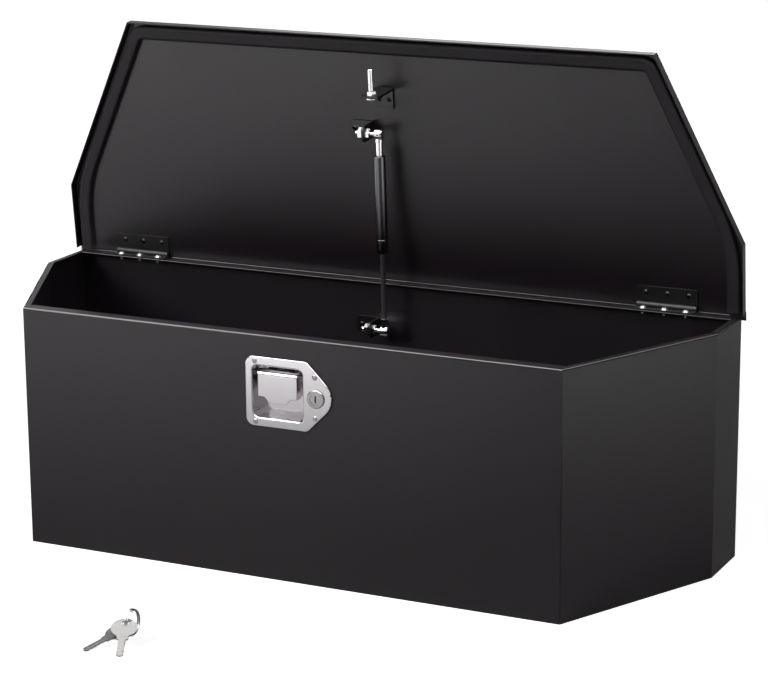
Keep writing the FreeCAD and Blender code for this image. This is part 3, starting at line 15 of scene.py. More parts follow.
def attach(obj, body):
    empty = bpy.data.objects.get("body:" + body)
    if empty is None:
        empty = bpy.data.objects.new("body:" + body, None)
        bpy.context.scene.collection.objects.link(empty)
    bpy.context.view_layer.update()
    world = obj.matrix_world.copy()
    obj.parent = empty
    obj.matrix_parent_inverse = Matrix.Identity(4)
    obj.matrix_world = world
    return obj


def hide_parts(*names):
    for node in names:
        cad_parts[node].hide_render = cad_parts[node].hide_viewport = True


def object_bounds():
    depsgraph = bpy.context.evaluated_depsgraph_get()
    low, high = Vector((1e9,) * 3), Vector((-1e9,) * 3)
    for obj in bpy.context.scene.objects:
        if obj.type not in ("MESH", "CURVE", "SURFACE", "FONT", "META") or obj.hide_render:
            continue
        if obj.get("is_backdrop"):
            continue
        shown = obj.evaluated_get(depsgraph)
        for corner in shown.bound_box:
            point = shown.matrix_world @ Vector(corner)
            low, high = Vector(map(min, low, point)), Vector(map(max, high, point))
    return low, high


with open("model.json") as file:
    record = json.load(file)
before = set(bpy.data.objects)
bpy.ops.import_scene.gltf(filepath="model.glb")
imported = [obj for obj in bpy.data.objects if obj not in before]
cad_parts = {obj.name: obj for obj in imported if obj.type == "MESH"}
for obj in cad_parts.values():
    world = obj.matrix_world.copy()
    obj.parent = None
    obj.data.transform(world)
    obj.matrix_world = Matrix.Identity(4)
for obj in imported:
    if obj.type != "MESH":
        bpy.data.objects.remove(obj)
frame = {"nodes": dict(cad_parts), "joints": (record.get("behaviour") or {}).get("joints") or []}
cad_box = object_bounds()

nodes = frame["nodes"]
scene = bpy.context.scene

# %% [markdown]
# ## Small tools
# Blender's shaders work in linear light, while a colour given in hex is an sRGB value. One function
# turns the hex codes of this notebook to linear. Another adds a node to any node tree, sets its
# options and joins its inputs, so the trees below read from top to bottom. Where a node is given as
# an input, its first output is meant. The box is measured in millimetres and turned to Blender's
# metres by one factor, and the studio round it is measured in metres.

# %% Helpers for colours, lengths and nodes
MM = 0.001


def linear(hex_code):
    """An sRGB hex code as a linear RGBA colour."""
    channels = [int(hex_code[place:place + 2], 16) / 255 for place in (1, 3, 5)]
    curve = [c / 12.92 if c <= 0.04045 else ((c + 0.055) / 1.055) ** 2.4 for c in channels]
    return (*curve, 1.0)


def per(size_mm):
    """Texture scale at which one feature is this many millimetres wide."""
    return 1 / (size_mm * MM)


def join(tree, node, inputs):
    """Sets a node's inputs, or joins them where a node or socket is given; a list joins several."""
    for socket, value in inputs.items():
        for source in value if isinstance(value, list) else [value]:
            if isinstance(source, bpy.types.Node):
                source = source.outputs[0]
            if isinstance(source, bpy.types.NodeSocket):
                tree.links.new(source, node.inputs[socket])
            else:
                node.inputs[socket].default_value = source


def add(tree, kind, inputs=None, **settings):
    """Adds a node, sets its options, and sets or joins its inputs."""
    node = tree.nodes.new(kind)
    for name, value in settings.items():
        setattr(node, name, value)
    join(tree, node, inputs or {})
    return node


print("mid grey in linear light:", [round(c, 3) for c in linear("#808080")])

# %% [markdown]
# ## The camera
# The box was photographed from its right front, a little above the rim, with a long lens. The numbers
# come from fitting a pinhole camera to the corners of the box. They are written as the camera's place
# and its two picture axes, because those say directly what is right and what is up in the picture.

# %% Camera
CAMERA_PLACE = Vector((1.39767, -2.77393, 1.06445))
CAMERA_RIGHT = Vector((0.90144, 0.43286, -0.00696)).normalized()
CAMERA_UP = Vector((-0.10456, 0.23329, 0.96677))
CAMERA_LENS = 125.42

lens = bpy.data.cameras.new("catalogue_camera")
lens.lens = CAMERA_LENS
lens.sensor_fit = "HORIZONTAL"
camera = bpy.data.objects.new("catalogue_camera", lens)
scene.collection.objects.link(camera)
backwards = CAMERA_RIGHT.cross(CAMERA_UP).normalized()
axes = Matrix((CAMERA_RIGHT, backwards.cross(CAMERA_RIGHT), backwards)).transposed()
camera.matrix_world = Matrix.Translation(CAMERA_PLACE) @ axes.to_4x4()
scene.camera = camera
print("camera at", [round(x, 3) for x in CAMERA_PLACE])

# %% [markdown]
# ## The surround
# Black paint shows mostly what it mirrors, so the studio matters more here than on a pale object. To
# the camera the surround is plain white. To a mirrored ray it is dim at its sides and bright overhead,
# like a lamp box that hangs over the front and the right of the set, and folds and screw heads catch
# that as a glint. A lamp box over the whole set would turn the flat keys white on a white floor, so
# it ends before the rear. A little plain light fills the shadows.

# %% Surround
SKY_SIDES = 0.35
SKY_TOP = 9.0
SKY_BACK = 0.9
SKY_FILL = 0.08
OVER_THE_FRONT = {"From Min": 0.3, "From Max": 0.1}
OVER_THE_RIGHT = {"From Min": 0.2, "From Max": 0.4}
OVERHEAD = {"From Min": 0.62, "From Max": 0.8}
SOFT_EDGE = "SMOOTHSTEP"

scene.view_settings.view_transform = "Standard"
world = bpy.data.worlds.new("white_surround")
scene.world = world
world.use_nodes = True
tree = world.node_tree
ray = add(tree, "ShaderNodeLightPath").outputs
direction = add(tree, "ShaderNodeTexCoord").outputs["Generated"]
way = add(tree, "ShaderNodeSeparateXYZ", {0: direction}).outputs
front = add(tree, "ShaderNodeMapRange", {"Value": way["Y"], **OVER_THE_FRONT}, interpolation_type=SOFT_EDGE)
right = add(tree, "ShaderNodeMapRange", {"Value": way["X"], **OVER_THE_RIGHT}, interpolation_type=SOFT_EDGE)
covered = add(tree, "ShaderNodeMath", {0: front, 1: right}, operation="MAXIMUM")
lamp_box = add(tree, "ShaderNodeMapRange", {"Value": covered, "To Min": SKY_BACK, "To Max": SKY_TOP})
sky = add(tree, "ShaderNodeMapRange", {
    "Value": way["Z"], **OVERHEAD, "To Min": SKY_SIDES, "To Max": lamp_box,
}, interpolation_type=SOFT_EDGE)
mirrored = add(tree, "ShaderNodeMath", {0: ray["Is Glossy Ray"], 1: sky}, operation="MULTIPLY")
shown = add(tree, "ShaderNodeMath", {0: ray["Is Camera Ray"], 1: mirrored}, operation="MAXIMUM")
strength = add(tree, "ShaderNodeMath", {0: shown, 1: SKY_FILL}, operation="MAXIMUM")
join(tree, tree.nodes["Background"], {"Color": linear("#ffffff"), "Strength": strength})
print("surround: sky of", SKY_SIDES, "at its sides and", SKY_TOP, "in the lamp box")

# %% [markdown]
# ## The floor
# Seen from above the rim, every upright panel mirrors the floor in front of it: its foot mirrors the
# floor close by, its top the floor a metre or two away. In the photograph each panel fades from dark
# grey at its foot to a paler grey at its top, so the floor has to grow brighter with distance, as
# paper does that curves up to a row of lamps. The first step is the sheet itself, and how far each
# spot of it lies outside the box.

# %% Floor sheet and distance from the box
FLOOR_SIZE = 40.0
FLOOR_DROP = 0.2 * MM
BOX_HALF = {"X": 0.45, "Y": 0.15}

half = FLOOR_SIZE / 2
corners = [(-half, -half, 0), (half, -half, 0), (half, half, 0), (-half, half, 0)]
floor_mesh = bpy.data.meshes.new("studio_floor")
floor_mesh.from_pydata(corners, [], [(0, 1, 2, 3)])
floor = bpy.data.objects.new("studio_floor", floor_mesh)
floor.location.z = -FLOOR_DROP
scene.collection.objects.link(floor)
floor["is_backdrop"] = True

paper = bpy.data.materials.new("matt_white_paper")
paper.use_nodes = True
floor_mesh.materials.append(paper)
tree = paper.node_tree
place = add(tree, "ShaderNodeTexCoord").outputs["Object"]
spot = add(tree, "ShaderNodeSeparateXYZ", {0: place}).outputs
outside = []
for axis, reach in BOX_HALF.items():
    either_way = add(tree, "ShaderNodeMath", {0: spot[axis]}, operation="ABSOLUTE")
    outside.append(add(tree, "ShaderNodeMath", {0: either_way, 1: reach}, operation="SUBTRACT"))
away = add(tree, "ShaderNodeMath", {0: outside[0], 1: outside[1]}, operation="MAXIMUM")
print("floor:", FLOOR_SIZE, "m square")

# %% [markdown]
# ### What the floor shows in a mirror
# A curve gives the glow at each distance. The photograph is paler on its left, so the glow leans
# that way, and it rises again on the far right, which the slanted corner mirrors. Behind the right
# corner it is dim, because the short end mirrors that spot and is dark at its foot. Towards the
# camera it is dark, as it is where a photographer stands, and that dark band gives round bright
# metal its black lines.

# %% Glow of the floor for mirrored rays
GLOW_REACH = 4.0
GLOW_CURVE = ((0.2, 0.02), (0.5, 0.07), (0.75, 0.18), (1.0, 0.39), (1.5, 0.76), (2.0, 1.0), (3.0, 0.5))
LEFT_LEAN = {"From Min": 0.6, "From Max": -1.4, "To Min": 1.85, "To Max": 2.9}
RIGHT_LEAN = {"From Min": 0.8, "From Max": 1.5, "To Min": 1.0, "To Max": 1.7}
RIGHT_CORNER = {"From Min": 0.2, "From Max": 0.5, "To Min": 0.8, "To Max": 0.16}
BEHIND_THE_BOX = {"From Min": 0.2, "From Max": 0.9, "To Min": 1.0}
CAMERA_SHADE = {"From Min": 0.78, "From Max": 0.95, "To Min": 1.0, "To Max": 0.05}

share = add(tree, "ShaderNodeMath", {0: away, 1: GLOW_REACH}, operation="DIVIDE")
rise = add(tree, "ShaderNodeFloatCurve", {"Value": share})
curve = rise.mapping.curves[0]
curve.points[0].location = (0.0, 0.0)
curve.points[1].location = (1.0, 0.0)
for distance, level in GLOW_CURVE:
    curve.points.new(distance / GLOW_REACH, level)
rise.mapping.update()

left = add(tree, "ShaderNodeMapRange", {"Value": spot["X"], **LEFT_LEAN})
right = add(tree, "ShaderNodeMapRange", {"Value": spot["X"], **RIGHT_LEAN})
corner = add(tree, "ShaderNodeMapRange", {"Value": spot["X"], **RIGHT_CORNER})
behind = add(tree, "ShaderNodeMapRange", {"Value": spot["Y"], **BEHIND_THE_BOX, "To Max": corner})
camera_side = Vector((CAMERA_PLACE.x, CAMERA_PLACE.y, 0)).normalized()
towards = add(tree, "ShaderNodeVectorMath", {0: place}, operation="NORMALIZE")
facing = add(tree, "ShaderNodeVectorMath", {0: towards, 1: camera_side}, operation="DOT_PRODUCT")
shade = add(tree, "ShaderNodeMapRange", {"Value": facing.outputs["Value"], **CAMERA_SHADE},
            interpolation_type=SOFT_EDGE)
mirrored = rise
for factor in (left, right, shade, behind):
    mirrored = add(tree, "ShaderNodeMath", {0: mirrored, 1: factor}, operation="MULTIPLY")
print("glow: brightest", max(GLOW_CURVE, key=lambda point: point[1])[0], "m from the box")

# %% [markdown]
# ### What the floor shows the camera
# For the camera the paper is white by its own light. Near the box it is a little less than white,
# so that the lamps have something to add and the box's shadow shows, and further off it is white
# whatever the lamps do.

# %% Paper finish
PAPER_WHITE = {"From Min": 0.3, "From Max": 1.5, "To Min": 0.86, "To Max": 1.0}

ray = add(tree, "ShaderNodeLightPath").outputs
white = add(tree, "ShaderNodeMapRange", {"Value": away, **PAPER_WHITE})
seen = add(tree, "ShaderNodeMath", {0: ray["Is Camera Ray"], 1: white}, operation="MULTIPLY")
reflected = add(tree, "ShaderNodeMath", {0: ray["Is Glossy Ray"], 1: mirrored}, operation="MULTIPLY")
glow = add(tree, "ShaderNodeMath", {0: seen, 1: reflected}, operation="ADD")
join(tree, tree.nodes["Principled BSDF"], {
    "Base Color": linear("#f4f4f4"),
    "Roughness": 1.0,
    "Specular IOR Level": 0.0,
    "Emission Color": linear("#ffffff"),
    "Emission Strength": glow,
})
print("paper:", PAPER_WHITE["To Min"], "of white beside the box")

# %% [markdown]
# ## The lamps
# Three soft square lamps throw the shadows: a strong one at the left front, a weak one at the right,
# and one behind for the views from the back. Area lamps are used because a small sharp lamp would
# draw the strut's shadow hard on the lid, and the photograph shows only a soft one.

# %% Lamps
LAMPS = (
    ("left_lamp", (-1.8, -2.2, 1.6), (-0.2, 0, 0.3), 1.0, 34),
    ("right_lamp", (2.6, -0.9, 1.2), (0.4, 0, 0.3), 1.0, 5),
    ("rear_lamp", (-1.0, 2.8, 1.7), (0, 0.15, 0.3), 1.2, 9),
)
for name, stand, target, size, watts in LAMPS:
    lamp = bpy.data.lights.new(name, "AREA")
    lamp.shape = "SQUARE"
    lamp.size = size
    lamp.energy = watts
    holder = bpy.data.objects.new(name, lamp)
    holder.location = stand
    holder.rotation_euler = (Vector(target) - Vector(stand)).to_track_quat("-Z", "Y").to_euler()
    scene.collection.objects.link(holder)
    print(name, watts, "W")

# %% [markdown]
# ## How a finish is built
# Each finish is a Principled shader. Its plain values are set on the shader, and what varies over the
# surface comes from noises at real sizes. No real coat is even, so every finish lets one noise drive
# both its tint and its roughness: where it is low the coat is dark and smooth, where it is high it is
# paler and rougher.

# %% Helpers for finishes
# The Mix node has a set of sockets for each kind of value, all with the same names, so numbers tell
# them apart: its share, its two colours, and the colour that comes out.
MIX_SHARE, MIX_DARK, MIX_PALE, MIX_COLOUR = 0, 6, 7, 2
finishes = {}


def new_finish(slot, name, **values):
    """A material for one slot of the record, or for one node: its tree and its shader."""
    material = bpy.data.materials.new(name)
    material.use_nodes = True
    shader = material.node_tree.nodes["Principled BSDF"]
    join(material.node_tree, shader, values)
    finishes[slot] = material
    return material.node_tree, shader


def tint_and_gloss(tree, shader, noise, tints, roughness):
    """Lets one noise drive a shader's colour and roughness, each between two ends."""
    dark, pale = tints
    smooth, rough = roughness
    tint = add(tree, "ShaderNodeMix", {
        MIX_SHARE: noise, MIX_DARK: linear(dark), MIX_PALE: linear(pale),
    }, data_type="RGBA")
    gloss = add(tree, "ShaderNodeMapRange", {"Value": noise, "To Min": smooth, "To Max": rough})
    join(tree, shader, {"Base Color": tint.outputs[MIX_COLOUR], "Roughness": gloss})
    return gloss


print("finishes so far:", len(finishes))

# %% [markdown]
# ## Black powder coat
# The box is folded steel sheet with a baked powder coat. Powder melts into a smooth, satin skin with a
# very fine orange peel: bumps of a millimetre or two, far too shallow to see one by one, that soften
# each reflection. Two noises do that here, one for the peel's bump and a slow one for the gloss,
# which is never quite even on a large panel. Along the folds the skin is drawn thin and smooth, and
# they glint. A fold is found by its normal, which points neither straight up nor level. The lid is
# modelled open, so its normals are first turned back to where the lid is shut.

# %% Powder coat finish
COAT_IOR = 1.5
COAT_TINTS = ("#262025", "#2a2429")
COAT_ROUGHNESS = (0.31, 0.39)
GLOSS_PATCH_MM = 60.0
PEEL_MM = 1.6
PEEL_DEPTH = 0.05 * MM
FOLD_ROUGHNESS = 0.17
FOLD_MASK = {"From Min": 0.08, "From Max": 0.3}
MIX_FIRST, MIX_SECOND = 2, 3  # the Mix node's sockets for plain numbers
lid_hinge = next(joint for joint in frame["joints"] if joint["name"] == "lid_hinge")
LID_OPEN = math.radians(lid_hinge["range_deg"][1])


def powder_coat(slot, name, turn_back):
    """Satin black paint whose folds are smoother; normals are turned back about X by an angle first."""
    tree, coat = new_finish(slot, name, IOR=COAT_IOR)
    place = add(tree, "ShaderNodeTexCoord").outputs
    patches = add(tree, "ShaderNodeTexNoise", {
        "Vector": place["Object"], "Scale": per(GLOSS_PATCH_MM), "Detail": 3.0,
    })
    gloss = tint_and_gloss(tree, coat, patches, COAT_TINTS, COAT_ROUGHNESS)

    shut = add(tree, "ShaderNodeVectorRotate", {"Vector": place["Normal"], "Angle": turn_back},
               rotation_type="X_AXIS")
    up = add(tree, "ShaderNodeSeparateXYZ", {0: shut}).outputs["Z"]
    up_squared = add(tree, "ShaderNodeMath", {0: up, 1: up}, operation="MULTIPLY")
    level_squared = add(tree, "ShaderNodeMath", {0: 1.0, 1: up_squared}, operation="SUBTRACT")
    level = add(tree, "ShaderNodeMath", {0: level_squared}, operation="SQRT")
    steep = add(tree, "ShaderNodeMath", {0: up}, operation="ABSOLUTE")
    fold = add(tree, "ShaderNodeMath", {0: steep, 1: level}, operation="MULTIPLY")
    mask = add(tree, "ShaderNodeMapRange", {"Value": fold, **FOLD_MASK})
    drawn = add(tree, "ShaderNodeMix", {MIX_SHARE: mask, MIX_FIRST: gloss, MIX_SECOND: FOLD_ROUGHNESS},
                data_type="FLOAT")

    peel = add(tree, "ShaderNodeTexNoise", {
        "Vector": place["Object"], "Scale": per(PEEL_MM), "Detail": 2.0,
    })
    bump = add(tree, "ShaderNodeBump", {"Height": peel, "Strength": 0.12, "Distance": PEEL_DEPTH})
    join(tree, coat, {"Roughness": drawn, "Normal": bump})


powder_coat("black_powder_coat", "satin_black_powder_coat", 0.0)
powder_coat("lid_panel", "satin_black_powder_coat_on_the_lid", LID_OPEN)
print("powder coat on the box, and on the lid at", round(math.degrees(LID_OPEN), 2), "degrees")

# %% [markdown]
# ## Painted hinges and brackets
# The hinge leaves and the strut's brackets are pressed from thicker steel and dipped in black paint.
# Dipped paint runs, so its gloss and its thickness change over about a centimetre. The hinges are
# duller than the brackets.

# %% Paint on hinges and brackets
PAINT_TINTS = ("#100f10", "#191819")
PAINT_RUN_MM = 9.0
PAINT_DEPTH = 0.1 * MM
for slot, name, roughness in (
    ("black_hinge_steel", "black_dipped_hinge_paint", (0.46, 0.58)),
    ("black_bracket", "black_dipped_bracket_paint", (0.26, 0.38)),
):
    tree, coat = new_finish(slot, name, IOR=COAT_IOR)
    place = add(tree, "ShaderNodeTexCoord").outputs["Object"]
    runs = add(tree, "ShaderNodeTexNoise", {"Vector": place, "Scale": per(PAINT_RUN_MM), "Detail": 4.0})
    tint_and_gloss(tree, coat, runs, PAINT_TINTS, roughness)
    bump = add(tree, "ShaderNodeBump", {"Height": runs, "Strength": 0.15, "Distance": PAINT_DEPTH})
    join(tree, coat, {"Normal": bump})
    print("painted:", name)

# %% [markdown]
# ## Rubber
# The lid's strip and the latch's gasket are black EPDM, an extruded rubber. It is matt, with a faint
# bloom of paler wax on the surface and tiny pits from the die. The bloom is the slow noise here. The
# pits are the fine one, drawn coarser than real pits so that they show.

# %% Rubber finish
RUBBER_IOR = 1.45
RUBBER_TINTS = ("#171218", "#201a1f")
RUBBER_ROUGHNESS = (0.58, 0.76)
BLOOM_MM = 14.0
PIT_MM = 0.7
PIT_DEPTH = 0.05 * MM

tree, rubber = new_finish("black_rubber", "matt_black_epdm_rubber", IOR=RUBBER_IOR)
place = add(tree, "ShaderNodeTexCoord").outputs["Object"]
bloom = add(tree, "ShaderNodeTexNoise", {"Vector": place, "Scale": per(BLOOM_MM), "Detail": 5.0})
tint_and_gloss(tree, rubber, bloom, RUBBER_TINTS, RUBBER_ROUGHNESS)
pits = add(tree, "ShaderNodeTexNoise", {"Vector": place, "Scale": per(PIT_MM), "Detail": 2.0})
bump = add(tree, "ShaderNodeBump", {"Height": pits, "Strength": 0.2, "Distance": PIT_DEPTH})
join(tree, rubber, {"Normal": bump})
print("rubber: bloom of", BLOOM_MM, "mm and pits of", PIT_MM, "mm")

# %% [markdown]
# ## The strut's dark steel
# A gas strut's tube and rod are black too, but it is the black of nitrided steel, a hard dark skin
# that still mirrors like metal, in long sharp lines. Black paint could be used, but on a tube this
# thin it would mirror too little for the streaks that the photograph shows. The rod is a duller grey
# than the tube, so its shader is only partly metal. Fine scratches run along both where they were
# wiped, drawn coarser than real ones so that they show.

# %% Strut finishes
SCRATCH_MM = 0.5
SCRATCH_STRETCH = (1.0, 1.0, 0.04)
for slot, name, metallic, tints, roughness in (
    ("black_strut", "black_nitrided_strut_steel", 1.0, ("#515053", "#636265"), (0.16, 0.26)),
    ("strut_rod", "grey_nitrided_rod_steel", 0.35, ("#5a585b", "#6e6c6f"), (0.2, 0.3)),
):
    tree, steel = new_finish(slot, name, Metallic=metallic)
    place = add(tree, "ShaderNodeTexCoord").outputs["Object"]
    along = add(tree, "ShaderNodeMapping", {"Vector": place, "Scale": SCRATCH_STRETCH})
    lines = add(tree, "ShaderNodeTexNoise", {"Vector": along, "Scale": per(SCRATCH_MM), "Detail": 3.0})
    tint_and_gloss(tree, steel, lines, tints, roughness)
    print("strut:", name)

# %% [markdown]
# ## Bare and plated metal
# The rest is metal: polished stainless on the latch, zinc on the strut's balls and nuts, zinc flake
# on the bright screws, nickel on the lock and the keys, black oxide on the lid's screws, and plain
# steel inside. They share one recipe, a metal shader with fine brush lines in its tint, roughness and
# bump, and differ in colour, polish and the direction of the lines. Zinc flake is metal dust in a
# binder, so that coat is only half metal, and the screws' ends stay visible in the dark box. The
# lines are drawn coarser than real ones so that they show.

# %% Metal finishes
BRUSH_MM = 0.35
BRUSH_STRETCH = 0.05
BRUSH_DEPTH = 0.02 * MM
ALONG_X, ALONG_Y, ALONG_Z = (1, 0, 0), (0, 1, 0), (0, 0, 1)
METALS = (
    ("stainless_latch", "polished_stainless_sheet", 1.0, ("#d1cdd0", "#e0dcdf"), (0.09, 0.16), ALONG_Z),
    ("zinc_hardware", "bright_zinc_plate", 1.0, ("#d6d4d5", "#e6e4e5"), (0.16, 0.28), ALONG_X),
    ("bright_screw", "zinc_flake_coated_screw_steel", 0.5, ("#b9b6b7", "#cdcacb"), (0.28, 0.40), ALONG_Z),
    ("lock_metal", "nickel_plated_zinc_casting", 1.0, ("#a29fa1", "#b8b5b7"), (0.14, 0.24), ALONG_Y),
    ("key_metal", "nickel_plated_brass_key", 1.0, ("#a6a4a3", "#bcbab9"), (0.18, 0.34), ALONG_Y),
    ("strut_inside", "turned_steel", 1.0, ("#8a8a8a", "#a2a2a2"), (0.25, 0.40), ALONG_Z),
    ("steel_inside", "plain_pickled_steel", 1.0, ("#858482", "#9c9b99"), (0.35, 0.52), ALONG_Z),
    ("black_screw", "black_oxide_screw_steel", 1.0, ("#2b2a2c", "#39383a"), (0.30, 0.46), ALONG_Z),
)
for slot, name, metallic, tints, roughness, brush in METALS:
    tree, metal = new_finish(slot, name, Metallic=metallic)
    place = add(tree, "ShaderNodeTexCoord").outputs["Object"]
    stretch = tuple(BRUSH_STRETCH if axis else 1.0 for axis in brush)
    along = add(tree, "ShaderNodeMapping", {"Vector": place, "Scale": stretch})
    lines = add(tree, "ShaderNodeTexNoise", {"Vector": along, "Scale": per(BRUSH_MM), "Detail": 4.0})
    tint_and_gloss(tree, metal, lines, tints, roughness)
    bump = add(tree, "ShaderNodeBump", {"Height": lines, "Strength": 0.08, "Distance": BRUSH_DEPTH})
    join(tree, metal, {"Normal": bump})
print("finishes:", sorted(finishes))

# %% [markdown]
# ## Trees that build what repeats
# Screws, rivets and the lid's rubber strip each follow a rule, so Geometry Nodes build them. One screw
# is worth modelling well when a tree can set it on every seat. The next helpers open a tree with named
# sizes and close it the same way each time.

# %% Open and close a tree
CREASE_ANGLE = 0.6  # radians


def new_tree(name, sizes):
    """A geometry tree whose inputs are a geometry, named sizes and a material."""
    tree = bpy.data.node_groups.new(name, "GeometryNodeTree")
    tree.interface.new_socket("Geometry", in_out="INPUT", socket_type="NodeSocketGeometry")
    for label in sizes:
        tree.interface.new_socket(label, in_out="INPUT", socket_type="NodeSocketFloat")
    tree.interface.new_socket("Material", in_out="INPUT", socket_type="NodeSocketMaterial")
    tree.interface.new_socket("Geometry", in_out="OUTPUT", socket_type="NodeSocketGeometry")
    return tree, add(tree, "NodeGroupInput").outputs


def close_tree(tree, sizes, geometry):
    """Ends a tree: real instances, smooth faces with sharp creases, and the material."""
    real = add(tree, "GeometryNodeRealizeInstances", {0: geometry})
    smooth = add(tree, "GeometryNodeSetShadeSmooth", {"Geometry": real, "Shade Smooth": True}, domain="FACE")
    angle = add(tree, "GeometryNodeInputMeshEdgeAngle").outputs["Unsigned Angle"]
    sharp = add(tree, "FunctionNodeCompare", {0: angle, 1: CREASE_ANGLE}, operation="GREATER_THAN")
    creased = add(tree, "GeometryNodeSetShadeSmooth", {
        "Geometry": smooth, "Selection": sharp, "Shade Smooth": False,
    }, domain="EDGE")
    dressed = add(tree, "GeometryNodeSetMaterial", {"Geometry": creased, "Material": sizes["Material"]})
    add(tree, "NodeGroupOutput", {0: dressed})


print("edges that turn by more than", round(math.degrees(CREASE_ANGLE)), "degrees stay sharp")

# %% [markdown]
# ### Running a tree
# A tree works on a seed object, whose mesh carries the seats, or the path and how wide each of its
# corners bends. A modifier could stay on the object, but a plain mesh is easier to hand on, so only
# the finished mesh is kept and the seed is removed.

# %% Run a tree


def run_tree(name, tree, places, sizes, slot, bends=None):
    """The plain mesh object that a tree makes of seats, or of a path when its corners' bends are given."""
    edges = [(n, n + 1) for n in range(len(places) - 1)] if bends else []
    seed_mesh = bpy.data.meshes.new(name + "_seed")
    seed_mesh.from_pydata([Vector(place) * MM for place in places], edges, [])
    if bends:
        layer = seed_mesh.attributes.new("bend", "FLOAT", "POINT")
        layer.data.foreach_set("value", [bend * MM for bend in bends])
    seed = bpy.data.objects.new(name + "_seed", seed_mesh)
    scene.collection.objects.link(seed)
    modifier = seed.modifiers.new("tree", "NODES")
    modifier.node_group = tree
    for item in tree.interface.items_tree:
        if item.in_out == "INPUT" and item.name in sizes:
            modifier[item.identifier] = sizes[item.name]
        if item.name == "Material":
            modifier[item.identifier] = finishes[slot]
    depsgraph = bpy.context.evaluated_depsgraph_get()
    mesh = bpy.data.meshes.new_from_object(seed.evaluated_get(depsgraph), depsgraph=depsgraph)
    mesh.name = name
    bpy.data.objects.remove(seed)
    piece = bpy.data.objects.new(name, mesh)
    scene.collection.objects.link(piece)
    print(name, "has", len(mesh.polygons), "faces")
    return piece


print("finishes ready for the trees:", len(finishes))

# %% [markdown]
# ## The lid's rubber strip
# The strip is one extruded length, glued round the inside of the lid from one hinge corner to the
# other. Its back is flat, its crown is highest on the outside, where the box's rim presses on it, and
# its inner edge drops off short. The tree rounds the path's corners, shapes a section with a curve,
# and sweeps it. The sweep comes out with its faces inwards, so they are flipped.

# %% Sweep tree
SECTION_SHAPE = ((0.02, 0.52), (0.07, 0.8), (0.15, 0.95), (0.26, 1.0), (0.5, 0.98), (0.78, 0.94),
                 (0.89, 0.87), (0.95, 0.72), (0.985, 0.42))
SECTION_POINTS = 56
BEND_POINTS = 14

tree, sizes = new_tree("swept_strip", ("Width", "Height", "Shift"))
path = add(tree, "GeometryNodeMeshToCurve", {"Mesh": sizes["Geometry"]})
bend = add(tree, "GeometryNodeInputNamedAttribute", {"Name": "bend"}, data_type="FLOAT").outputs["Attribute"]
rounded = add(tree, "GeometryNodeFilletCurve", {"Curve": path, "Radius": bend, "Count": BEND_POINTS},
              mode="POLY")
level = add(tree, "GeometryNodeSetCurveNormal", {"Curve": rounded}, mode="Z_UP")

line = add(tree, "GeometryNodeCurvePrimitiveLine", {"Start": (0, 0, 0), "End": (1, 0, 0)})
fine = add(tree, "GeometryNodeResampleCurve", {"Curve": line, "Count": SECTION_POINTS})
across = add(tree, "GeometryNodeSplineParameter").outputs["Factor"]
shape = add(tree, "ShaderNodeFloatCurve", {"Value": across})
curve = shape.mapping.curves[0]
curve.points[1].location = (1.0, 0.0)
for share, height in SECTION_SHAPE:
    curve.points.new(share, height)
shape.mapping.update()

middle = add(tree, "ShaderNodeMath", {0: across, 1: 0.5}, operation="SUBTRACT")
wide = add(tree, "ShaderNodeMath", {0: middle, 1: sizes["Width"]}, operation="MULTIPLY")
side = add(tree, "ShaderNodeMath", {0: wide, 1: sizes["Shift"]}, operation="ADD")
crown = add(tree, "ShaderNodeMath", {0: shape, 1: sizes["Height"]}, operation="MULTIPLY")
spot = add(tree, "ShaderNodeCombineXYZ", {"X": side, "Y": crown})
placed = add(tree, "GeometryNodeSetPosition", {"Geometry": fine, "Position": spot})
section = add(tree, "GeometryNodeSetSplineCyclic", {"Geometry": placed, "Cyclic": True})
swept = add(tree, "GeometryNodeCurveToMesh", {"Curve": level, "Profile Curve": section, "Fill Caps": True})
outward = add(tree, "GeometryNodeFlipFaces", {"Mesh": swept})
close_tree(tree, sizes, outward)
print("sweep tree:", len(tree.nodes), "nodes")

# %% [markdown]
# ### The strip and its painted shadow line
# The path is written for the shut lid, one half of it, because the other half is its mirror image. It
# is turned up with the lid about the hinge axis. The same tree sweeps a second, flat dark section along
# the strip's inner edge: a painted shadow line that stands in for the shade under that edge.

# %% Strip and its painted shadow line
LID_UNDERSIDE_Z = 304.0
HALF_PATH = ((443.3, 149.3), (443.3, 68.08), (342.7, -142.8))
HALF_BENDS = (0, 180, 15.5)
STRIP_SIZES = {"Width": 17.0 * MM, "Height": 7.6 * MM, "Shift": 0.0}
TAPE_SIZES = {"Width": 1.8 * MM, "Height": 0.3 * MM, "Shift": 9.3 * MM}

strip_path = [(x, y, LID_UNDERSIDE_Z) for x, y in HALF_PATH]
strip_path += [(-x, y, z) for x, y, z in reversed(strip_path)]
strip_bends = HALF_BENDS + HALF_BENDS[::-1]
hinge_axis = Vector(lid_hinge["pos_m"])
swing = Matrix.Rotation(-LID_OPEN, 4, "X")
open_lid = Matrix.Translation(hinge_axis) @ swing @ Matrix.Translation(-hinge_axis)

strip = run_tree("lid_seal_strip", tree, strip_path, STRIP_SIZES, "black_rubber", strip_bends)
# A flat dark band along the strip's inner edge: a painted shadow line for the shade under that edge.
tape = run_tree("lid_seal_tape", tree, strip_path, TAPE_SIZES, "black_rubber", strip_bends)
for piece in (strip, tape):
    piece.data.transform(open_lid)
    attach(piece, "lid")
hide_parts("lid_seal")

# %% [markdown]
# ## Round heads
# The hinge screws and the latch's rivets all have a round head, the top of a ball that stands on its
# seat. A head's radius and rise give the ball's radius. A large block keeps what is above the seat,
# which leaves a closed head with a flat base. Another helper sets what was built on every seat.

# %% Helpers for heads and seats
ROUND_SIDES = 40
BLOCK_EDGE = 4.0  # in ball radii, which is more than the head needs


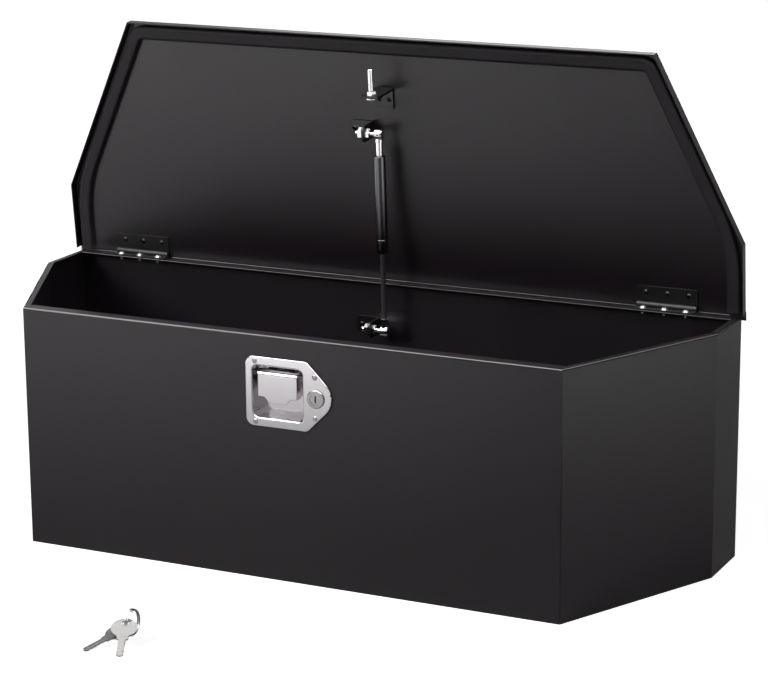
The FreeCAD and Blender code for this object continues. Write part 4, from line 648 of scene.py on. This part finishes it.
def round_head(tree, sizes):
    """The part of a ball that stands above its seat, from the head's radius and rise."""
    radius, rise = sizes["Head Radius"], sizes["Head Rise"]
    radius_squared = add(tree, "ShaderNodeMath", {0: radius, 1: radius}, operation="MULTIPLY")
    rise_squared = add(tree, "ShaderNodeMath", {0: rise, 1: rise}, operation="MULTIPLY")
    squares = add(tree, "ShaderNodeMath", {0: radius_squared, 1: rise_squared}, operation="ADD")
    twice = add(tree, "ShaderNodeMath", {0: rise, 1: 2.0}, operation="MULTIPLY")
    ball_radius = add(tree, "ShaderNodeMath", {0: squares, 1: twice}, operation="DIVIDE")
    ball = add(tree, "GeometryNodeMeshUVSphere", {
        "Segments": ROUND_SIDES, "Rings": ROUND_SIDES, "Radius": ball_radius,
    })
    drop = add(tree, "ShaderNodeMath", {0: rise, 1: ball_radius}, operation="SUBTRACT")
    down = add(tree, "ShaderNodeCombineXYZ", {"Z": drop})
    sunk = add(tree, "GeometryNodeTransform", {"Geometry": ball, "Translation": down})
    edge = add(tree, "ShaderNodeMath", {0: ball_radius, 1: BLOCK_EDGE}, operation="MULTIPLY")
    edges = add(tree, "ShaderNodeCombineXYZ", {"X": edge, "Y": edge, "Z": edge})
    block = add(tree, "GeometryNodeMeshCube", {"Size": edges})
    lift = add(tree, "ShaderNodeMath", {0: edge, 1: 0.5}, operation="MULTIPLY")
    up = add(tree, "ShaderNodeCombineXYZ", {"Z": lift})
    above = add(tree, "GeometryNodeTransform", {"Geometry": block, "Translation": up})
    return add(tree, "GeometryNodeMeshBoolean", {"Mesh 2": [sunk, above]},
               operation="INTERSECT", solver="EXACT")


def on_seats(tree, sizes, bodies):
    """The joined bodies, tilted and set on every seat of the seed."""
    whole = add(tree, "GeometryNodeJoinGeometry", {0: bodies})
    tilt = add(tree, "ShaderNodeCombineXYZ", {"X": sizes["Tilt"]})
    return add(tree, "GeometryNodeInstanceOnPoints", {
        "Points": sizes["Geometry"], "Instance": whole, "Rotation": tilt,
    })


print("round heads have", ROUND_SIDES, "sides")

# %% [markdown]
# ## Hinge screws
# The hinges are held by round-headed cross screws, bright ones in the box's rim with their ends showing
# below it, and black ones in the lid. Two bars sink a cross in the head. It could be drawn as a bump,
# but the walls of a real cut catch the light, and the cut stays in the mesh itself.

# %% Screw tree: the head
SCREW_SIZES = ("Head Radius", "Head Rise", "Shank Radius", "Shank Length", "Thread Pitch", "Thread Depth",
               "Cross Width", "Cross Share", "Tilt")

tree, sizes = new_tree("cross_screw", SCREW_SIZES)
head = round_head(tree, sizes)
share = sizes["Cross Share"]
half_arm = add(tree, "ShaderNodeMath", {0: sizes["Head Radius"], 1: share}, operation="MULTIPLY")
arm = add(tree, "ShaderNodeMath", {0: half_arm, 1: 2.0}, operation="MULTIPLY")
half_deep = add(tree, "ShaderNodeMath", {0: sizes["Head Rise"], 1: share}, operation="MULTIPLY")
deep = add(tree, "ShaderNodeMath", {0: half_deep, 1: 2.0}, operation="MULTIPLY")
crown = add(tree, "ShaderNodeCombineXYZ", {"Z": sizes["Head Rise"]})
bars = []
for long_x, long_y in ((arm, sizes["Cross Width"]), (sizes["Cross Width"], arm)):
    bar_size = add(tree, "ShaderNodeCombineXYZ", {"X": long_x, "Y": long_y, "Z": deep})
    bar = add(tree, "GeometryNodeMeshCube", {"Size": bar_size})
    bars.append(add(tree, "GeometryNodeTransform", {"Geometry": bar, "Translation": crown}))
crossed = add(tree, "GeometryNodeMeshBoolean", {"Mesh 1": head, "Mesh 2": bars},
              operation="DIFFERENCE", solver="EXACT")
print("screw head: a cross of", len(bars), "bars")

# %% [markdown]
# ### The screws' thread
# A thread is wound round the shank by pulling its points in along a helix. A plain pattern of rings
# would do from far away, but the helix costs only one more sum. The last turn narrows to a tip.

# %% Screw tree: the shank
THREAD_STEPS = 90
TIP_SHARE = 0.55
HALF_TURN = 0.5

bolt = add(tree, "GeometryNodeMeshCylinder", {
    "Vertices": ROUND_SIDES, "Side Segments": THREAD_STEPS, "Radius": sizes["Shank Radius"],
    "Depth": sizes["Shank Length"],
})
spot = add(tree, "ShaderNodeSeparateXYZ", {0: add(tree, "GeometryNodeInputPosition")}).outputs
angle = add(tree, "ShaderNodeMath", {0: spot["Y"], 1: spot["X"]}, operation="ARCTAN2")
around = add(tree, "ShaderNodeMath", {0: angle, 1: math.tau}, operation="DIVIDE")
climb = add(tree, "ShaderNodeMath", {0: spot["Z"], 1: sizes["Thread Pitch"]}, operation="DIVIDE")
turns = add(tree, "ShaderNodeMath", {0: climb, 1: around}, operation="ADD")
tooth = add(tree, "ShaderNodeMath", {0: turns, 1: HALF_TURN}, operation="PINGPONG")
bite = add(tree, "ShaderNodeMath", {0: sizes["Thread Depth"], 1: sizes["Shank Radius"]}, operation="DIVIDE")
half_cut = add(tree, "ShaderNodeMath", {0: tooth, 1: bite}, operation="MULTIPLY")
cut = add(tree, "ShaderNodeMath", {0: half_cut, 1: 2.0}, operation="MULTIPLY")
kept = add(tree, "ShaderNodeMath", {0: 1.0, 1: cut}, operation="SUBTRACT")

foot = add(tree, "ShaderNodeMath", {0: sizes["Shank Length"], 1: -0.5}, operation="MULTIPLY")
first_turn = add(tree, "ShaderNodeMath", {0: foot, 1: sizes["Thread Pitch"]}, operation="ADD")
tip = add(tree, "ShaderNodeMapRange", {
    "Value": spot["Z"], "From Min": foot, "From Max": first_turn, "To Min": TIP_SHARE,
})
narrow = add(tree, "ShaderNodeMath", {0: tip, 1: kept}, operation="MULTIPLY")
wound_x = add(tree, "ShaderNodeMath", {0: spot["X"], 1: narrow}, operation="MULTIPLY")
wound_y = add(tree, "ShaderNodeMath", {0: spot["Y"], 1: narrow}, operation="MULTIPLY")
hung = add(tree, "ShaderNodeMath", {0: spot["Z"], 1: foot}, operation="ADD")
thread = add(tree, "ShaderNodeCombineXYZ", {"X": wound_x, "Y": wound_y, "Z": hung})
wound = add(tree, "GeometryNodeSetPosition", {"Geometry": bolt.outputs["Mesh"], "Position": thread})
close_tree(tree, sizes, on_seats(tree, sizes, [crossed, wound]))
print("screw tree:", len(tree.nodes), "nodes")

# %% [markdown]
# ### Screws on their seats
# Three screws hold each leaf, evenly spaced about the hinge's middle. The box's screws stand on the rim
# and the lid's hang from the lid, so those are tilted by half a turn. Both are placed for the shut lid,
# and the lid's are then turned up with it.

# %% Screws on their seats
HINGE_MIDDLE = 360.0
SCREW_PITCH = 27.0
BRIGHT_SIZES = {
    "Head Radius": 4.4 * MM, "Head Rise": 3.0 * MM, "Shank Radius": 2.0 * MM, "Shank Length": 7.5 * MM,
    "Thread Pitch": 0.9 * MM, "Thread Depth": 0.35 * MM, "Cross Width": 0.9 * MM, "Cross Share": 0.55,
    "Tilt": 0.0,
}
BLACK_SIZES = {
    **BRIGHT_SIZES, "Head Radius": 3.4 * MM, "Head Rise": 1.6 * MM, "Shank Length": 3.2 * MM,
    "Tilt": math.pi,
}
BOX_SEAT = (141.6, 298.0)
LID_SEAT = (136.3, 302.0)

screw_places = [side * HINGE_MIDDLE + step * SCREW_PITCH for side in (-1, 1) for step in (-1, 0, 1)]
box_seats = [(x, *BOX_SEAT) for x in screw_places]
lid_seats = [(x, *LID_SEAT) for x in screw_places]
box_screws = run_tree("box_leaf_screws", tree, box_seats, BRIGHT_SIZES, "bright_screw")
lid_screws = run_tree("lid_leaf_screws", tree, lid_seats, BLACK_SIZES, "black_screw")
lid_screws.data.transform(open_lid)
for piece, body, node, slot in (
    (box_screws, "box", "box_hinge_screws", "bright_screw"),
    (lid_screws, "lid", "lid_hinge_screws", "black_screw"),
):
    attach(piece, body)
    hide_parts(node)

# %% [markdown]
# ## Latch rivets
# Four blind rivets hold the latch. Their heads are low domes with the hole that the pulled stem leaves,
# and the stem's broken end stands in it. The same round head is drilled here, and a rod makes the hole,
# the stem and the tail behind the plate.

# %% Rivet tree
RIVET_SIZES = ("Head Radius", "Head Rise", "Hole Radius", "Hole Depth", "Stem Radius", "Tail Radius",
               "Tail Length", "Tilt")
STEM_TOP_SHARE = 0.5


def rivet_rod(tree, radius, length, top):
    """An upright round rod whose upper end is at a height."""
    post = add(tree, "GeometryNodeMeshCylinder", {
        "Vertices": ROUND_SIDES, "Radius": radius, "Depth": length,
    })
    half_length = add(tree, "ShaderNodeMath", {0: length, 1: 0.5}, operation="MULTIPLY")
    middle = add(tree, "ShaderNodeMath", {0: top, 1: half_length}, operation="SUBTRACT")
    shift = add(tree, "ShaderNodeCombineXYZ", {"Z": middle})
    return add(tree, "GeometryNodeTransform", {"Geometry": post.outputs["Mesh"], "Translation": shift})


tree, sizes = new_tree("blind_rivet", RIVET_SIZES)
head = round_head(tree, sizes)
drill_length = add(tree, "ShaderNodeMath", {0: sizes["Hole Depth"], 1: 2.0}, operation="MULTIPLY")
drill_top = add(tree, "ShaderNodeMath", {0: sizes["Head Rise"], 1: sizes["Hole Depth"]}, operation="ADD")
drill = rivet_rod(tree, sizes["Hole Radius"], drill_length, drill_top)
drilled = add(tree, "GeometryNodeMeshBoolean", {"Mesh 1": head, "Mesh 2": drill},
              operation="DIFFERENCE", solver="EXACT")
stem_top = add(tree, "ShaderNodeMath", {0: sizes["Head Rise"], 1: STEM_TOP_SHARE}, operation="MULTIPLY")
stem = rivet_rod(tree, sizes["Stem Radius"], sizes["Head Rise"], stem_top)
tail = rivet_rod(tree, sizes["Tail Radius"], sizes["Tail Length"], 0.0)
close_tree(tree, sizes, on_seats(tree, sizes, [drilled, stem, tail]))
print("rivet tree:", len(tree.nodes), "nodes")

# %% [markdown]
# ### Rivets on their seats
# Two rivets stand at the latch's square end and two, closer together, at its pointed end. They face
# the front, so they are tilted by a quarter turn.

# %% Rivets on their seats
PLATE_FACE_Y = -154.5
LATCH_MIDDLE_Z = 228.7
RIVET_PLACES = ((-32.1, 36.4), (45.5, 24.4))
RIVET = {
    "Head Radius": 3.3 * MM, "Head Rise": 1.1 * MM, "Hole Radius": 1.7 * MM, "Hole Depth": 0.9 * MM,
    "Stem Radius": 0.8 * MM, "Tail Radius": 1.6 * MM, "Tail Length": 5.4 * MM, "Tilt": math.pi / 2,
}

rivet_seats = [(x, PLATE_FACE_Y, LATCH_MIDDLE_Z + side * offset)
               for side in (-1, 1) for x, offset in RIVET_PLACES]
rivets = run_tree("latch_plate_rivets", tree, rivet_seats, RIVET, "bright_screw")
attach(rivets, "box")
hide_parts("latch_rivets")

# %% [markdown]
# ## Finishes on the CAD pieces
# Each CAD piece came in with a plain material named after its slot in the record. The real finish
# takes that slot's place. Two pieces, the lid and the strut's rod, have a finish of their own, which is
# kept under the piece's name.

# %% Put the finishes on
for name, node in nodes.items():
    for place in node.material_slots:
        slot_name = place.material.name.split(".")[0]
        place.material = finishes.get(name, finishes[slot_name])
print("dressed", len(nodes), "CAD pieces")

# %% [markdown]
# ## Measure
# The CAD model's box and the dressed box are both measured and printed. The dressed box has to
# stay inside the CAD model's box.

# %% Sizes and finish
sizes = {
    "cad": [[round(x, 5) for x in corner] for corner in cad_box],
    "visual": [[round(x, 5) for x in corner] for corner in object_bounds()],
}
print("sizes:", sizes)
